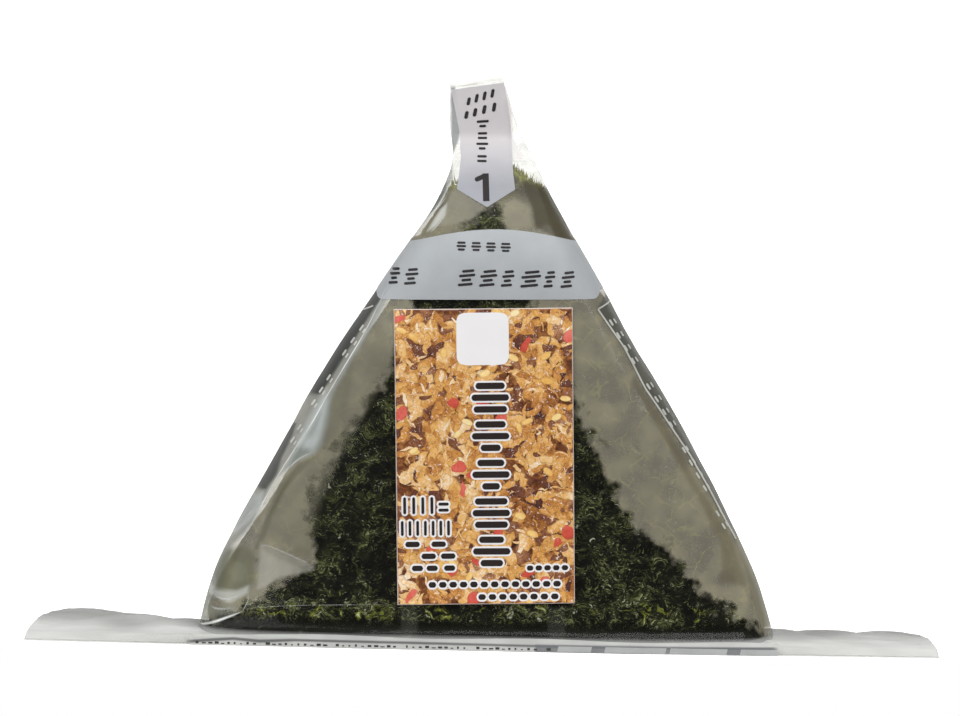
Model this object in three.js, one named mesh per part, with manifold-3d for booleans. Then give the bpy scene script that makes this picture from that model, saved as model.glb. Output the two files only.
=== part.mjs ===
// A rice ball wrapped in a sheet of nori and sealed in clear film, standing on its base.
// The film is one sheet folded round the triangle. It is drawn up to a flat pull tab above
// the apex, spreads into a low skirt at the base, and leaves a flattened wing at each lower
// corner. A paper label is stuck on the front.
//
// Millimetres, +Z up, +X to the right as seen from the front, and the front faces -Y.
// The origin is the middle of the base, on the surface that the pack stands on.

import * as THREE from 'three';
import { mergeVertices } from 'three/addons/utils/BufferGeometryUtils.js';
import Module from 'manifold-3d';

// The triangular body and the tab from the front: [height, left edge X, right edge X]
const OUTLINE = [
  [0, -43.5, 45],
  [8, -41.5, 42.5],
  [30, -30, 31.5],
  [44, -22.5, 23],
  [56, -15, 16],
  [68, -7.5, 9],
  [72, -6, 7],
  [79, -6.5, 3.5],
  [85, -6.5, 1.5],
];
const BODY_DEPTH = 33;
const SECTION_POWER = 5; // squareness of a level section: 2 is an ellipse

// The heights of the level sections
const BASE_HEIGHTS = [0, 1, 2, 3, 4.6]; // close together, for the skirt
const BODY_FROM_Z = 7;
const BODY_STEP = 3.2;
const NECK_Z = 62; // the sections are set closer together above this
const NECK_FROM_Z = 62.5;
const NECK_STEP = 1.7;
const TAB_TOP_STEP = 1; // the least height left for the last step

// The skirt of loose film round the base
const SKIRT_REACH = 2.5;
const SKIRT_HEIGHT = 3;
const SKIRT_FLARE = 1.3; // how much of its reach the skirt keeps for its foot

// The pull tab
const TAB_THICKNESS = 1.2;
const TAB_TOP_Z = 85;
const TAB_TOP_SLANT = 0.185; // rise of the tab's top edge for each unit in X
const TAB_SLANT_FROM_Z = 74;
const SHOULDER_SLOPE = 1.05; // how fast the depth closes towards the tab
const SHOULDER_END_Z = 76.5;
const SHOULDER_BLEND = 5;

// The flattened film under the base, which runs out into a wing at each end
const WING_TIP_X = 68.25;
const WING_ROOT_X = 40;
const BASE_FRONT_Y = -18.9; // the front fold at the middle of the base
const WING_FRONT_TIP_Y = -17.8;
const WING_REAR_ROOT_Y = -3;
const WING_TIP_ROUNDING = 4; // how late the tip's edge turns in towards the rear corner
const WING_THICKNESS = 0.9;
const WING_EDGE_THICKNESS = 0.3;
const WING_EDGE_SHARE = 0.1; // of the way across, over which the edge thickens
const WING_CLEARANCE = 0.15; // the wings hang just clear of the surface
const WING_CURL = 1.5; // how late the film rises towards its rear edge
const RIPPLE_ALONG = 9; // the waves' turn, in radians, from a wing's root to its tip
const RIPPLE_ACROSS = 4; // and from its front edge to its rear edge
const WING_LEFT = { cornerX: 62.5, cornerY: 5, rootRise: 1, cornerRise: 1.1, ripple: 0.5 };
const WING_RIGHT = { cornerX: 66, cornerY: 0.5, rootRise: 0.9, cornerRise: 0.3, ripple: 0.4 };

// The label
const LABEL_WIDTH = 26.5;
const LABEL_HEIGHT = 44.2;
const LABEL_CENTRE_X = -0.1;
const LABEL_CENTRE_Z = 28.8;
const LABEL_TURN = 1.7; // degrees, anticlockwise from the front
const LABEL_THICKNESS = 0.35;
const LABEL_GAP = 0.25;

// Mesh steps
const SECTION_STEPS = 64;
const WING_STEPS_LONG = 64; // from one wing's tip to the other's
const WING_STEPS_ACROSS = 8;
const LABEL_STEPS_X = 6;
const LABEL_STEPS_Z = 9;

const wasm = await Module();
wasm.setup();

function smoothStep(from, to, value) {
  return THREE.MathUtils.smoothstep(value, from, to);
}

function smoothMax(a, b, blend) {
  return (a + b + Math.hypot(a - b, blend)) / 2;
}

function smoothMin(a, b, blend) {
  return -smoothMax(-a, -b, blend);
}

// The film's middle and half its width at a height, from a smooth curve through the outline.
const outlineCurve = new THREE.CubicInterpolant(
  OUTLINE.map(([z]) => z),
  OUTLINE.flatMap(([, left, right]) => [left, right]),
  2,
  new Float64Array(2),
);

function widthAt(z) {
  const [left, right] = outlineCurve.evaluate(z);
  return { middle: (left + right) / 2, half: (right - left) / 2 };
}

// Half its depth: even up the body, closing to the flat tab, and spreading into the skirt.
function halfDepth(z) {
  const shoulder = TAB_THICKNESS / 2 + SHOULDER_SLOPE * (SHOULDER_END_Z - z);
  const body = smoothMin(BODY_DEPTH / 2, shoulder, SHOULDER_BLEND);
  const closed = smoothMax(body, TAB_THICKNESS / 2, TAB_THICKNESS / 2);
  return closed + SKIRT_REACH * Math.max(1 - z / SKIRT_HEIGHT, 0) ** SKIRT_FLARE;
}

// How far in front of the middle plane the film lies at a point of the front.
function frontDepth(x, z) {
  const { middle, half } = widthAt(z);
  const across = Math.min(Math.abs((x - middle) / half), 1);
  return halfDepth(z) * (1 - across ** SECTION_POWER) ** (1 / SECTION_POWER);
}

// The heights of the level sections, from the base to the tab's top.
function sectionHeights() {
  const heights = [...BASE_HEIGHTS];
  for (let z = BODY_FROM_Z; z < NECK_Z; z += BODY_STEP) heights.push(z);
  for (let z = NECK_FROM_Z; z < TAB_TOP_Z - TAB_TOP_STEP; z += NECK_STEP) heights.push(z);
  heights.push(TAB_TOP_Z);
  return heights;
}

// A closed mesh from points and triangles, with its shared vertices merged.
function closedGeometry(points, triangles) {
  const geometry = new THREE.BufferGeometry();
  geometry.setAttribute('position', new THREE.Float32BufferAttribute(points.flat(), 3));
  geometry.setIndex(triangles.flat());
  return mergeVertices(geometry);
}

// The body with its tab: superellipse sections stacked up the height, capped flat at both ends.
function bodyGeometry() {
  const points = [];
  const triangles = [];
  const heights = sectionHeights();
  const power = 2 / SECTION_POWER;
  for (const z of heights) {
    const { middle, half } = widthAt(z);
    const slant = TAB_TOP_SLANT * smoothStep(TAB_SLANT_FROM_Z, TAB_TOP_Z, z);
    for (let i = 0; i < SECTION_STEPS; i += 1) {
      const angle = (2 * Math.PI * i) / SECTION_STEPS;
      const across = Math.sign(Math.cos(angle)) * Math.abs(Math.cos(angle)) ** power;
      const deep = Math.sign(Math.sin(angle)) * Math.abs(Math.sin(angle)) ** power;
      points.push([middle + half * across, halfDepth(z) * deep, z + slant * half * across]);
    }
  }
  const next = (i) => (i + 1) % SECTION_STEPS;
  for (let ring = 0; ring < heights.length - 1; ring += 1) {
    const low = ring * SECTION_STEPS;
    const high = low + SECTION_STEPS;
    for (let i = 0; i < SECTION_STEPS; i += 1) {
      triangles.push([low + i, low + next(i), high + next(i)]);
      triangles.push([low + i, high + next(i), high + i]);
    }
  }
  const top = (heights.length - 1) * SECTION_STEPS;
  const baseMiddle = points.push([widthAt(0).middle, 0, 0]) - 1;
  const topMiddle = points.push([widthAt(TAB_TOP_Z).middle, 0, TAB_TOP_Z]) - 1;
  for (let i = 0; i < SECTION_STEPS; i += 1) {
    triangles.push([baseMiddle, next(i), i]);
    triangles.push([topMiddle, top + i, top + next(i)]);
  }
  return closedGeometry(points, triangles);
}

// A sheet with thickness over a grid of rows and columns. place(u, v, side) gives the point
// at u along, v across, on side 0 or 1 of the sheet; both sides are split alike.
function sheetGeometry(stepsU, stepsV, place) {
  const points = [];
  const triangles = [];
  const index = (i, j, side) => (side * (stepsU + 1) + i) * (stepsV + 1) + j;
  for (const side of [0, 1]) {
    for (let i = 0; i <= stepsU; i += 1) {
      for (let j = 0; j <= stepsV; j += 1) points.push(place(i / stepsU, j / stepsV, side));
    }
  }
  const quad = (a, b, c, d) => triangles.push([a, b, c], [a, c, d]);
  for (let i = 0; i < stepsU; i += 1) {
    for (let j = 0; j < stepsV; j += 1) {
      quad(index(i, j, 1), index(i + 1, j, 1), index(i + 1, j + 1, 1), index(i, j + 1, 1));
      triangles.push([index(i, j, 0), index(i + 1, j + 1, 0), index(i + 1, j, 0)]);
      triangles.push([index(i, j, 0), index(i, j + 1, 0), index(i + 1, j + 1, 0)]);
    }
    quad(index(i, 0, 0), index(i + 1, 0, 0), index(i + 1, 0, 1), index(i, 0, 1));
    quad(index(i + 1, stepsV, 0), index(i, stepsV, 0), index(i, stepsV, 1), index(i + 1, stepsV, 1));
  }
  for (let j = 0; j < stepsV; j += 1) {
    quad(index(0, j + 1, 0), index(0, j, 0), index(0, j, 1), index(0, j + 1, 1));
    quad(index(stepsU, j, 0), index(stepsU, j + 1, 0), index(stepsU, j + 1, 1), index(stepsU, j, 1));
  }
  return closedGeometry(points, triangles);
}

// The height of a wing's film: lying on the surface at the front edge and curled up behind.
function wingHeight(wing, along, across) {
  const rise = THREE.MathUtils.lerp(wing.rootRise, wing.cornerRise, along);
  const ripple = wing.ripple * Math.sin(RIPPLE_ALONG * along + RIPPLE_ACROSS * across) * across;
  return WING_CLEARANCE + rise * across ** WING_CURL + Math.abs(ripple);
}

// The film under the base: a long front fold from tip to tip, and a slanted edge at each tip.
function wingsGeometry() {
  const place = (u, v, side) => {
    const towardsTip = 2 * u - 1;
    const wing = towardsTip < 0 ? WING_LEFT : WING_RIGHT;
    const reach = THREE.MathUtils.lerp(WING_TIP_X, wing.cornerX, v ** WING_TIP_ROUNDING);
    const x = towardsTip * reach;
    const along = Math.max((Math.abs(x) - WING_ROOT_X) / (reach - WING_ROOT_X), 0);
    const front = THREE.MathUtils.lerp(BASE_FRONT_Y, WING_FRONT_TIP_Y, towardsTip ** 2);
    const rear = THREE.MathUtils.lerp(WING_REAR_ROOT_Y, wing.cornerY, along);
    const y = THREE.MathUtils.lerp(front, rear, v);
    const fromEdge = Math.min(v, 1 - v) / WING_EDGE_SHARE;
    const thickness = THREE.MathUtils.lerp(WING_EDGE_THICKNESS, WING_THICKNESS, Math.min(fromEdge, 1));
    return [x, y, wingHeight(wing, along, v) + side * thickness];
  };
  return sheetGeometry(WING_STEPS_LONG, WING_STEPS_ACROSS, place);
}

function toSolid(geometry) {
  const mesh = new wasm.Mesh({
    numProp: 3,
    vertProperties: new Float32Array(geometry.getAttribute('position').array),
    triVerts: new Uint32Array(geometry.getIndex().array),
  });
  return new wasm.Manifold(mesh);
}

function toGeometry(solid) {
  const { vertProperties, triVerts } = solid.getMesh();
  const geometry = new THREE.BufferGeometry();
  geometry.setAttribute('position', new THREE.BufferAttribute(vertProperties, 3));
  geometry.setIndex(new THREE.BufferAttribute(triVerts, 1));
  return geometry;
}

// The sealed film pack with the food in it, as one solid: body, tab, skirt and both wings.
function filmPack() {
  const solid = toSolid(bodyGeometry()).add(toSolid(wingsGeometry()));
  const material = new THREE.MeshStandardMaterial({
    color: 0x4a4c3c,
    roughness: 0.3,
    metalness: 0,
  });
  const mesh = new THREE.Mesh(toGeometry(solid), material);
  mesh.name = 'film_pack';
  return mesh;
}

// The paper label, which follows the front face.
function label() {
  const turn = THREE.MathUtils.degToRad(LABEL_TURN);
  const place = (u, v, side) => {
    const right = (u - 0.5) * LABEL_WIDTH;
    const up = (v - 0.5) * LABEL_HEIGHT;
    const x = LABEL_CENTRE_X + right * Math.cos(turn) - up * Math.sin(turn);
    const z = LABEL_CENTRE_Z + right * Math.sin(turn) + up * Math.cos(turn);
    const y = -frontDepth(x, z) - LABEL_GAP - side * LABEL_THICKNESS;
    return [x, y, z];
  };
  const material = new THREE.MeshStandardMaterial({
    color: 0xb4743a,
    roughness: 0.4,
    metalness: 0,
  });
  const mesh = new THREE.Mesh(sheetGeometry(LABEL_STEPS_X, LABEL_STEPS_Z, place), material);
  mesh.name = 'label';
  return mesh;
}

const onigiri = new THREE.Group();
onigiri.add(filmPack(), label());

export default onigiri;
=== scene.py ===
import math

import bpy
import numpy as np
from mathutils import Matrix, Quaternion, Vector, noise


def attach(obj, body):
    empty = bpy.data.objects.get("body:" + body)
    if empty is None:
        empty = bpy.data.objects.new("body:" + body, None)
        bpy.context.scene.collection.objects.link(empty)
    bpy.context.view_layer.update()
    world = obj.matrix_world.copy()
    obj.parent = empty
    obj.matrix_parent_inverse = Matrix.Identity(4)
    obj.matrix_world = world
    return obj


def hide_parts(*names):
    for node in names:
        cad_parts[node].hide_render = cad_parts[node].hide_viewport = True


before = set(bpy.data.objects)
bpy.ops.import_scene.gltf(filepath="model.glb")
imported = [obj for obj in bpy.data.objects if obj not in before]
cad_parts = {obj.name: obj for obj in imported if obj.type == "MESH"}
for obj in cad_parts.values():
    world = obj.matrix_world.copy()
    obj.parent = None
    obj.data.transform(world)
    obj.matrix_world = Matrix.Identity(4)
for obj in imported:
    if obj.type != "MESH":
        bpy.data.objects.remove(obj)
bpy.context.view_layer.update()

# Camera. The pack was photographed from the front at about half a metre, a little from above,
# with the picture tipped so that the base line runs down to the right.
MM = 0.001
AIM = Vector((-1.1, -18.9, 43.7))
CAMERA_DISTANCE = 473
CAMERA_RISE = math.radians(4)
CAMERA_ROLL = math.radians(1.14)
LENS_MM = 120


def new_object(name, data):
    """An object at the origin of the scene that shows some data."""
    made = bpy.data.objects.new(name, data)
    bpy.context.scene.collection.objects.link(made)
    return made


camera = new_object("camera", bpy.data.cameras.new("camera"))
camera.data.lens = LENS_MM
camera.data.clip_start = 0.02
towards_camera = Vector((0, -math.cos(CAMERA_RISE), math.sin(CAMERA_RISE)))
camera.location = (AIM + towards_camera * CAMERA_DISTANCE) * MM
camera.rotation_mode = "QUATERNION"
level = (-towards_camera).to_track_quat("-Z", "Y")
camera.rotation_quaternion = level @ Quaternion((0, 0, 1), CAMERA_ROLL)
bpy.context.scene.camera = camera
bpy.context.scene.view_settings.view_transform = "Standard"

# Studio. A white seamless sweep runs from under the pack up behind it. Soft boxes stand left,
# right and overhead, and the room in front is dim, so the clear film shows what is inside.
SWEEP_HALF_WIDTH = 2.4
SWEEP_FRONT_Y = -0.024
SWEEP_WALL_Y = 1.3
SWEEP_RADIUS = 0.5
SWEEP_HEIGHT = 2.2
SWEEP_ARC_STEPS = 18
SWEEP_WHITE = "#f8f8f7"
SWEEP_OVER_EXPOSURE = 0.75
ROOM_STRENGTH = 0.14
SOFT_BOXES = [
    # name, place, what it is turned to, size, watts
    ("soft_box_left", (-0.8, -0.75, 0.45), (0, 0, 0.04), (1.4, 1.4), 12),
    ("soft_box_right", (0.55, -0.75, 0.9), (0, 0, 0.04), (1.1, 1.1), 15),
    ("soft_box_top", (0, 0.1, 1.1), (0, 0, 0), (1.2, 0.9), 3),
]


def srgb(colour):
    """A hex colour as linear red, green, blue and alpha."""
    parts = [int(colour[i : i + 2], 16) / 255 for i in (1, 3, 5)]
    return [*((c / 12.92 if c < 0.04045 else ((c + 0.055) / 1.055) ** 2.4) for c in parts), 1]


def add_node(tree, kind, inputs=None, **settings):
    """Adds a node, sets its properties, and fills its inputs with values or links. A node that
    is given as a value stands for its first output."""
    made = tree.nodes.new(kind)
    for name, value in settings.items():
        setattr(made, name, value)
    for socket, value in (inputs or {}).items():
        if isinstance(value, bpy.types.Node):
            value = value.outputs[0]
        if isinstance(value, bpy.types.NodeSocket):
            tree.links.new(value, made.inputs[socket])
        else:
            made.inputs[socket].default_value = value
    return made


def new_material(name):
    """An empty node material and its tree."""
    material = bpy.data.materials.new(name)
    material.use_nodes = True
    material.node_tree.nodes.clear()
    return material, material.node_tree


def mesh_object(name, points, faces, *materials):
    """A smooth-shaded object at the origin from points in millimetres."""
    mesh = bpy.data.meshes.new(name)
    mesh.from_pydata((np.reshape(points, (-1, 3)) * MM).tolist(), [], faces)
    mesh.shade_smooth()
    for material in materials:
        mesh.materials.append(material)
    return new_object(name, mesh)


def grid_faces(rows, columns, first=0, closed=False):
    """Quads over rows of points, each row running on to its own start if closed."""
    faces = []
    for row in range(rows - 1):
        for column in range(columns if closed else columns - 1):
            low = first + row * columns
            beside = (column + 1) % columns
            high = low + columns
            faces.append((low + column, low + beside, high + beside, high + column))
    return faces


arc = [math.pi / 2 * step / SWEEP_ARC_STEPS for step in range(SWEEP_ARC_STEPS + 1)]
profile = [(SWEEP_FRONT_Y, 0)]
profile += [
    (SWEEP_WALL_Y - SWEEP_RADIUS * (1 - math.sin(turn)), SWEEP_RADIUS * (1 - math.cos(turn)))
    for turn in arc
]
profile += [(SWEEP_WALL_Y, SWEEP_HEIGHT)]
sweep_points = [(side * SWEEP_HALF_WIDTH / MM, y / MM, z / MM) for y, z in profile for side in (-1, 1)]
paper, tree = new_material("matt_sweep_paper")
shade = add_node(tree, "ShaderNodeBsdfDiffuse", {"Color": srgb(SWEEP_WHITE)})
seen = add_node(tree, "ShaderNodeLightPath").outputs["Is Camera Ray"]
over_exposure = add_node(
    tree, "ShaderNodeMath", {0: seen, 1: SWEEP_OVER_EXPOSURE}, operation="MULTIPLY"
)
lift = add_node(tree, "ShaderNodeEmission", {"Strength": over_exposure})
burnt_out = add_node(tree, "ShaderNodeAddShader", {0: shade, 1: lift})
add_node(tree, "ShaderNodeOutputMaterial", {"Surface": burnt_out})
sweep = mesh_object("sweep", sweep_points, grid_faces(len(profile), 2), paper)

world = bpy.data.worlds.new("room")
world.use_nodes = True
world.node_tree.nodes.clear()
rays = add_node(world.node_tree, "ShaderNodeLightPath")
dim_room = add_node(world.node_tree, "ShaderNodeBackground", {"Strength": ROOM_STRENGTH})
white_room = add_node(world.node_tree, "ShaderNodeBackground", {"Color": srgb("#ffffff")})
room = add_node(
    world.node_tree,
    "ShaderNodeMixShader",
    {0: rays.outputs["Is Camera Ray"], 1: dim_room, 2: white_room},
)
add_node(world.node_tree, "ShaderNodeOutputWorld", {"Surface": room})
bpy.context.scene.world = world

for name, place, target, size, watts in SOFT_BOXES:
    light = bpy.data.lights.new(name, "AREA")
    light.shape = "RECTANGLE"
    light.size, light.size_y = size
    light.energy = watts
    lamp = new_object(name, light)
    lamp.location = place
    lamp.rotation_euler = (Vector(target) - Vector(place)).to_track_quat("-Z", "Y").to_euler()

# Rice ball in its nori. One roasted sheet of seaweed is wrapped round the triangle of rice and
# stands up in a torn, crinkled edge under the tab. It is dark, fibrous and pressed to the film.
OUTLINE = np.array([  # height, left edge, right edge of the film, from the front
    [0, -43.5, 45],
    [8, -41.5, 42.5],
    [30, -30.6, 31.5],
    [36, -27.5, 28.1],
    [44, -22.8, 23],
    [56, -15, 16],
    [68, -7.5, 9],
    [72, -6, 7],
    [79, -6.5, 3.5],
    [85, -6.5, 1.5],
])
BODY_DEPTH = 33
SECTION_POWER = 5
SKIRT_REACH, SKIRT_HEIGHT = 2.5, 3
TAB_THICKNESS, TAB_TOP_Z, TAB_SLANT, TAB_SLANT_FROM_Z = 1.2, 85, 0.185, 74
SHOULDER_SLOPE, SHOULDER_END_Z, SHOULDER_BLEND = 1.05, 76.5, 5
NORI_FOOT_Z = 1.5
NORI_TOP_Z = 71.7
NORI_INSET = 0.3
NORI_LEFT_GAP = 2.6  # more room on the left, where the film stands off
NORI_LEFT_RISE, NORI_LEFT_FALL = (3, 22), (50, 62)  # heights where that room opens and closes
NORI_TEARS = [(1.1, 1.1, 7), (0.7, 0.35, 3)]  # height of the tears, their size, offset of the noise
NORI_SIDE_DROP, NORI_BACK_DROP = 3.4, 1.5
NORI_RIDGE, NORI_RIDGE_SIZE = 0.3, 2.2
NORI_RELIEF = [(0.16, 0.9), (0.25, 9)]  # height and size of the crinkles and of the soft waves
NORI_FOOT_BLEND, NORI_FOOT_INSET = 2.5, 0.8
NORI_INSIDE = [(0.94, -0.5), (0.8, -2.2), (0.45, -3.2)]  # share of the edge's width, drop below it
NORI_SECTION = dict(front=230, side=28, back=110)
NORI_ROWS = 180


def smooth_step(low, high, value):
    t = np.clip((value - low) / (high - low), 0, 1)
    return t * t * (3 - 2 * t)


def smooth_max(a, b, blend):
    return (a + b + np.hypot(a - b, blend)) / 2


def edges_at(z):
    """The film's middle and half its width in X at a height, smooth through the outline."""
    heights, edges = OUTLINE[:, 0], OUTLINE[:, 1:]
    slopes = np.gradient(edges, heights, axis=0)
    z = np.asarray(z, float)
    row = np.clip(np.searchsorted(heights, z, side="right") - 1, 0, len(heights) - 2)
    step = heights[row + 1] - heights[row]
    t = np.clip((z - heights[row]) / step, 0, 1)
    weights = [2 * t**3 - 3 * t**2 + 1, (t**3 - 2 * t**2 + t) * step]
    weights += [3 * t**2 - 2 * t**3, (t**3 - t**2) * step]
    parts = [edges[row], slopes[row], edges[row + 1], slopes[row + 1]]
    curve = sum(weight[..., None] * part for weight, part in zip(weights, parts))
    return curve.mean(axis=-1), (curve[..., 1] - curve[..., 0]) / 2


def half_depth(z):
    """Half the film's depth: even up the body, flat at the tab, wider at the skirt."""
    z = np.asarray(z, float)
    shoulder = TAB_THICKNESS / 2 + SHOULDER_SLOPE * (SHOULDER_END_Z - z)
    body = -smooth_max(-BODY_DEPTH / 2, -shoulder, SHOULDER_BLEND)
    closed = smooth_max(body, TAB_THICKNESS / 2, TAB_THICKNESS / 2)
    return closed + SKIRT_REACH * np.clip(1 - z / SKIRT_HEIGHT, 0, 1) ** 1.3


def rim(value):
    """The other coordinate on the unit section, a squarish oval."""
    return (1 - np.abs(value) ** SECTION_POWER) ** (1 / SECTION_POWER)


def unit_section(front, side, back):
    """One level section as across and deep, from -1 to 1, anticlockwise from the front left.
    Its points are closest together on the front, which the eye is on."""
    corner = 0.5 ** (1 / SECTION_POWER)
    run = corner * np.linspace(-1, 1, front, endpoint=False)
    rear = corner * np.linspace(1, -1, back, endpoint=False)
    step = np.linspace(0, 1, side, endpoint=False)
    right = corner * (2 * step**1.5 - 1)
    left = corner * (2 * (1 - step) ** 1.5 - 1)
    across = np.concatenate([run, rim(right), rear, -rim(left)])
    deep = np.concatenate([-rim(run), right, rim(rear), left])
    return across, deep


def noise_at(points, size, offset=0):
    """Smooth noise from -1 to 1 at points, with waves of the given size."""
    flat = np.reshape(points, (-1, 3)) / size + offset
    return np.reshape([noise.noise(place) for place in flat.tolist()], np.shape(points)[:-1])


def ridges_at(points, size, offset=0):
    """Sharp fibre-like ridges from 0 to 1 at points."""
    flat = np.reshape(points, (-1, 3)) / size + offset
    values = [noise.ridged_multi_fractal(place, 1, 2.1, 3, 1, 2) for place in flat.tolist()]
    return np.reshape(values, np.shape(points)[:-1]) / 2


def section_normals(across, deep, z):
    """Outward level directions of the film."""
    _, half = edges_at(z)
    power = SECTION_POWER - 1
    x = np.sign(across) * np.abs(across) ** power / half
    y = np.sign(deep) * np.abs(deep) ** power / half_depth(z)
    normals = np.stack([x, y, np.zeros_like(x)], axis=-1)
    return normals / np.linalg.norm(normals, axis=-1, keepdims=True)


def stack_rings(name, rings, foot, crown, *materials):
    """A closed body from level rings, with a point in the middle of each end."""
    rows, columns = rings.shape[:2]
    faces = grid_faces(rows, columns, closed=True)
    last = rows * columns
    top = last - columns
    for i in range(columns):
        beside = (i + 1) % columns
        faces.append((last, beside, i))
        faces.append((last + 1, top + i, top + beside))
    points = np.concatenate([rings.reshape(-1, 3), [foot, crown]])
    return mesh_object(name, points, faces, *materials)


def keep(piece, name, values, kind="FLOAT", part="value"):
    """Keeps a number or colour for each point of a piece, for its material to read."""
    layer = piece.data.attributes.new(name, kind, "POINT")
    layer.data.foreach_set(part, np.ravel(values).astype(np.float32))


def nori_rings():
    """The nori's rings from the foot up to the torn edge, then down inside it to the rice."""
    across, deep = unit_section(**NORI_SECTION)
    up = np.linspace(0, 1, NORI_ROWS)[:, None]
    around = np.stack([across * 9, deep * 9, 0 * across], axis=-1)
    torn = sum(height * noise_at(around, size, offset) for height, size, offset in NORI_TEARS)
    bow = -NORI_SIDE_DROP * across**2 - NORI_BACK_DROP * smooth_step(-0.4, 1, deep)
    tops = NORI_TOP_Z + bow + torn
    z = NORI_FOOT_Z + (tops - NORI_FOOT_Z) * up
    middle, half = edges_at(z)
    gap = smooth_step(*NORI_LEFT_RISE, z) * (1 - 0.9 * smooth_step(*NORI_LEFT_FALL, z))
    gap = NORI_LEFT_GAP * gap * smooth_step(0, 1, -across)
    foot = smooth_step(0, NORI_FOOT_BLEND, z - NORI_FOOT_Z)
    x = middle + (half - NORI_INSET) * across + gap
    y = (half_depth(z) - NORI_INSET) * deep
    rings = np.stack([x, y, z], axis=-1)
    relief = NORI_RIDGE * (ridges_at(rings, NORI_RIDGE_SIZE) - 0.8)
    relief = relief + sum(height * noise_at(rings, size) for height, size in NORI_RELIEF)
    relief = relief * foot - NORI_FOOT_INSET * (1 - foot) - NORI_RIDGE
    rings = rings + section_normals(across + 0 * z, deep + 0 * z, z) * relief[..., None]
    inside = [rings[-1] * [share, share, 1] + [0, 0, drop] for share, drop in NORI_INSIDE]
    return np.concatenate([rings, inside])


def place_in_mm(tree, scale=(1000, 1000, 1000)):
    """The place on a piece in millimetres, for the textures of its material."""
    place = add_node(tree, "ShaderNodeTexCoord").outputs["Object"]
    return add_node(tree, "ShaderNodeMapping", {"Vector": place, "Scale": scale})


# Roasted nori: pressed seaweed, so near-black green with curled strands of paler green. Towards
# the foot it has more green flakes and painted glints, and its lowest band is darkened as painted
# shade.
NORI_DARK, NORI_BLOTCH, NORI_TORN = "#070705", "#1a1d11", "#8f9440"
NORI_STRANDS = [  # turn, cells for each mm, where it starts, how much, colour
    (0.5, 1.0, 0.52, 0.45, "#3c4122"),
    (-0.8, 1.4, 0.56, 0.6, "#5a5f34"),
    (1.5, 2.0, 0.58, 0.6, "#6f7445"),
    (2.4, 1.7, 0.6, 0.75, "#8b9060"),
    (-0.2, 2.3, 0.615, 0.8, "#a6a881"),
]
# The green flakes are the nori's own colour; the pale flake and glint colours are painted glints.
NORI_GREEN_FLAKE, NORI_PALE_FLAKE, NORI_GLINT = "#949b3a", "#d8dcc0", "#c6cab4"
nori_sheet, tree = new_material("roasted_nori")
in_mm = place_in_mm(tree)
height = add_node(tree, "ShaderNodeSeparateXYZ", {0: in_mm}).outputs["Z"]
below = add_node(
    tree, "ShaderNodeMapRange", {"Value": height, "From Min": 11, "From Max": 6, "To Max": 1}
)
above = add_node(tree, "ShaderNodeMapRange", {"Value": height, "From Min": 3, "From Max": 4.2})
foot_share = add_node(tree, "ShaderNodeMath", {0: below, 1: above}, operation="MULTIPLY")
swirl = add_node(tree, "ShaderNodeTexNoise", {"Vector": in_mm, "Scale": 0.35, "Detail": 2})
curled = add_node(
    tree,
    "ShaderNodeVectorMath",
    {0: swirl.outputs["Color"], 1: (6, 6, 6), 2: in_mm},
    operation="MULTIPLY_ADD",
)
blotches = add_node(
    tree, "ShaderNodeTexNoise", {"Vector": in_mm, "Scale": 0.4, "Detail": 5, "Roughness": 0.65}
)
patches = add_node(
    tree,
    "ShaderNodeTexNoise",
    {"Vector": curled, "Scale": 0.38, "Detail": 4, "Roughness": 0.75, "Distortion": 0.3},
)
glints = add_node(
    tree, "ShaderNodeTexNoise", {"Vector": curled, "Scale": 1.15, "Detail": 2, "Distortion": 0.5}
)
clumps = add_node(
    tree, "ShaderNodeTexNoise", {"Vector": curled, "Scale": 0.3, "Detail": 3, "Roughness": 0.6}
)
held_back = add_node(
    tree,
    "ShaderNodeMapRange",
    {"Value": clumps, "From Min": 0.38, "From Max": 0.62, "To Min": 0.085, "To Max": -0.035},
)
# What covers the dark ground in turn: pattern, start, end, most, how much more of it at the foot,
# how much it keeps to the clumps, colour
layers = [(blotches, 0.4, 0.66, 1, 0, 1, NORI_BLOTCH)]
for turn, scale, start, most, colour in NORI_STRANDS:
    turned = add_node(
        tree,
        "ShaderNodeMapping",
        {
            "Vector": curled,
            "Location": (7 * turn, 3, turn),
            "Rotation": (0.3, turn, 0),
            "Scale": (0.35, 1, 1.6),
        },
    )
    strands = add_node(
        tree, "ShaderNodeTexNoise", {"Vector": turned, "Scale": scale, "Detail": 2.6, "Roughness": 0.65}
    )
    layers.append((strands, start, start + 0.13, most, 0.02, 1, colour))
layers.append((patches, 0.77, 0.9, 1, 0.2, 0, NORI_GREEN_FLAKE))
# Painted glints: pale flakes, more of them at the foot, and small pale specks all over.
layers.append((patches, 0.84, 0.93, 1, 0.2, 0, NORI_PALE_FLAKE))
layers.append((glints, 0.68, 0.78, 0.8, 0.04, 1, NORI_GLINT))
colour = add_node(tree, "ShaderNodeRGB")
colour.outputs["Color"].default_value = srgb(NORI_DARK)
for pattern, start, end, most, more, clumped, shown in layers:
    from_foot = add_node(tree, "ShaderNodeMath", {0: foot_share, 1: -more}, operation="MULTIPLY")
    shift = add_node(
        tree, "ShaderNodeMath", {0: held_back, 1: clumped, 2: from_foot}, operation="MULTIPLY_ADD"
    )
    start_at, end_at = (
        add_node(tree, "ShaderNodeMath", {0: shift, 1: limit}, operation="ADD")
        for limit in (start, end)
    )
    share = add_node(
        tree,
        "ShaderNodeMapRange",
        {"Value": pattern, "From Min": start_at, "From Max": end_at, "To Max": most},
    )
    colour = add_node(
        tree, "ShaderNodeMix", {0: share, 6: colour, 7: srgb(shown)}, data_type="RGBA"
    ).outputs[2]
shadow = add_node(
    tree, "ShaderNodeMapRange", {"Value": height, "From Min": 4, "From Max": 2.8, "To Max": 0.85}
)
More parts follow.
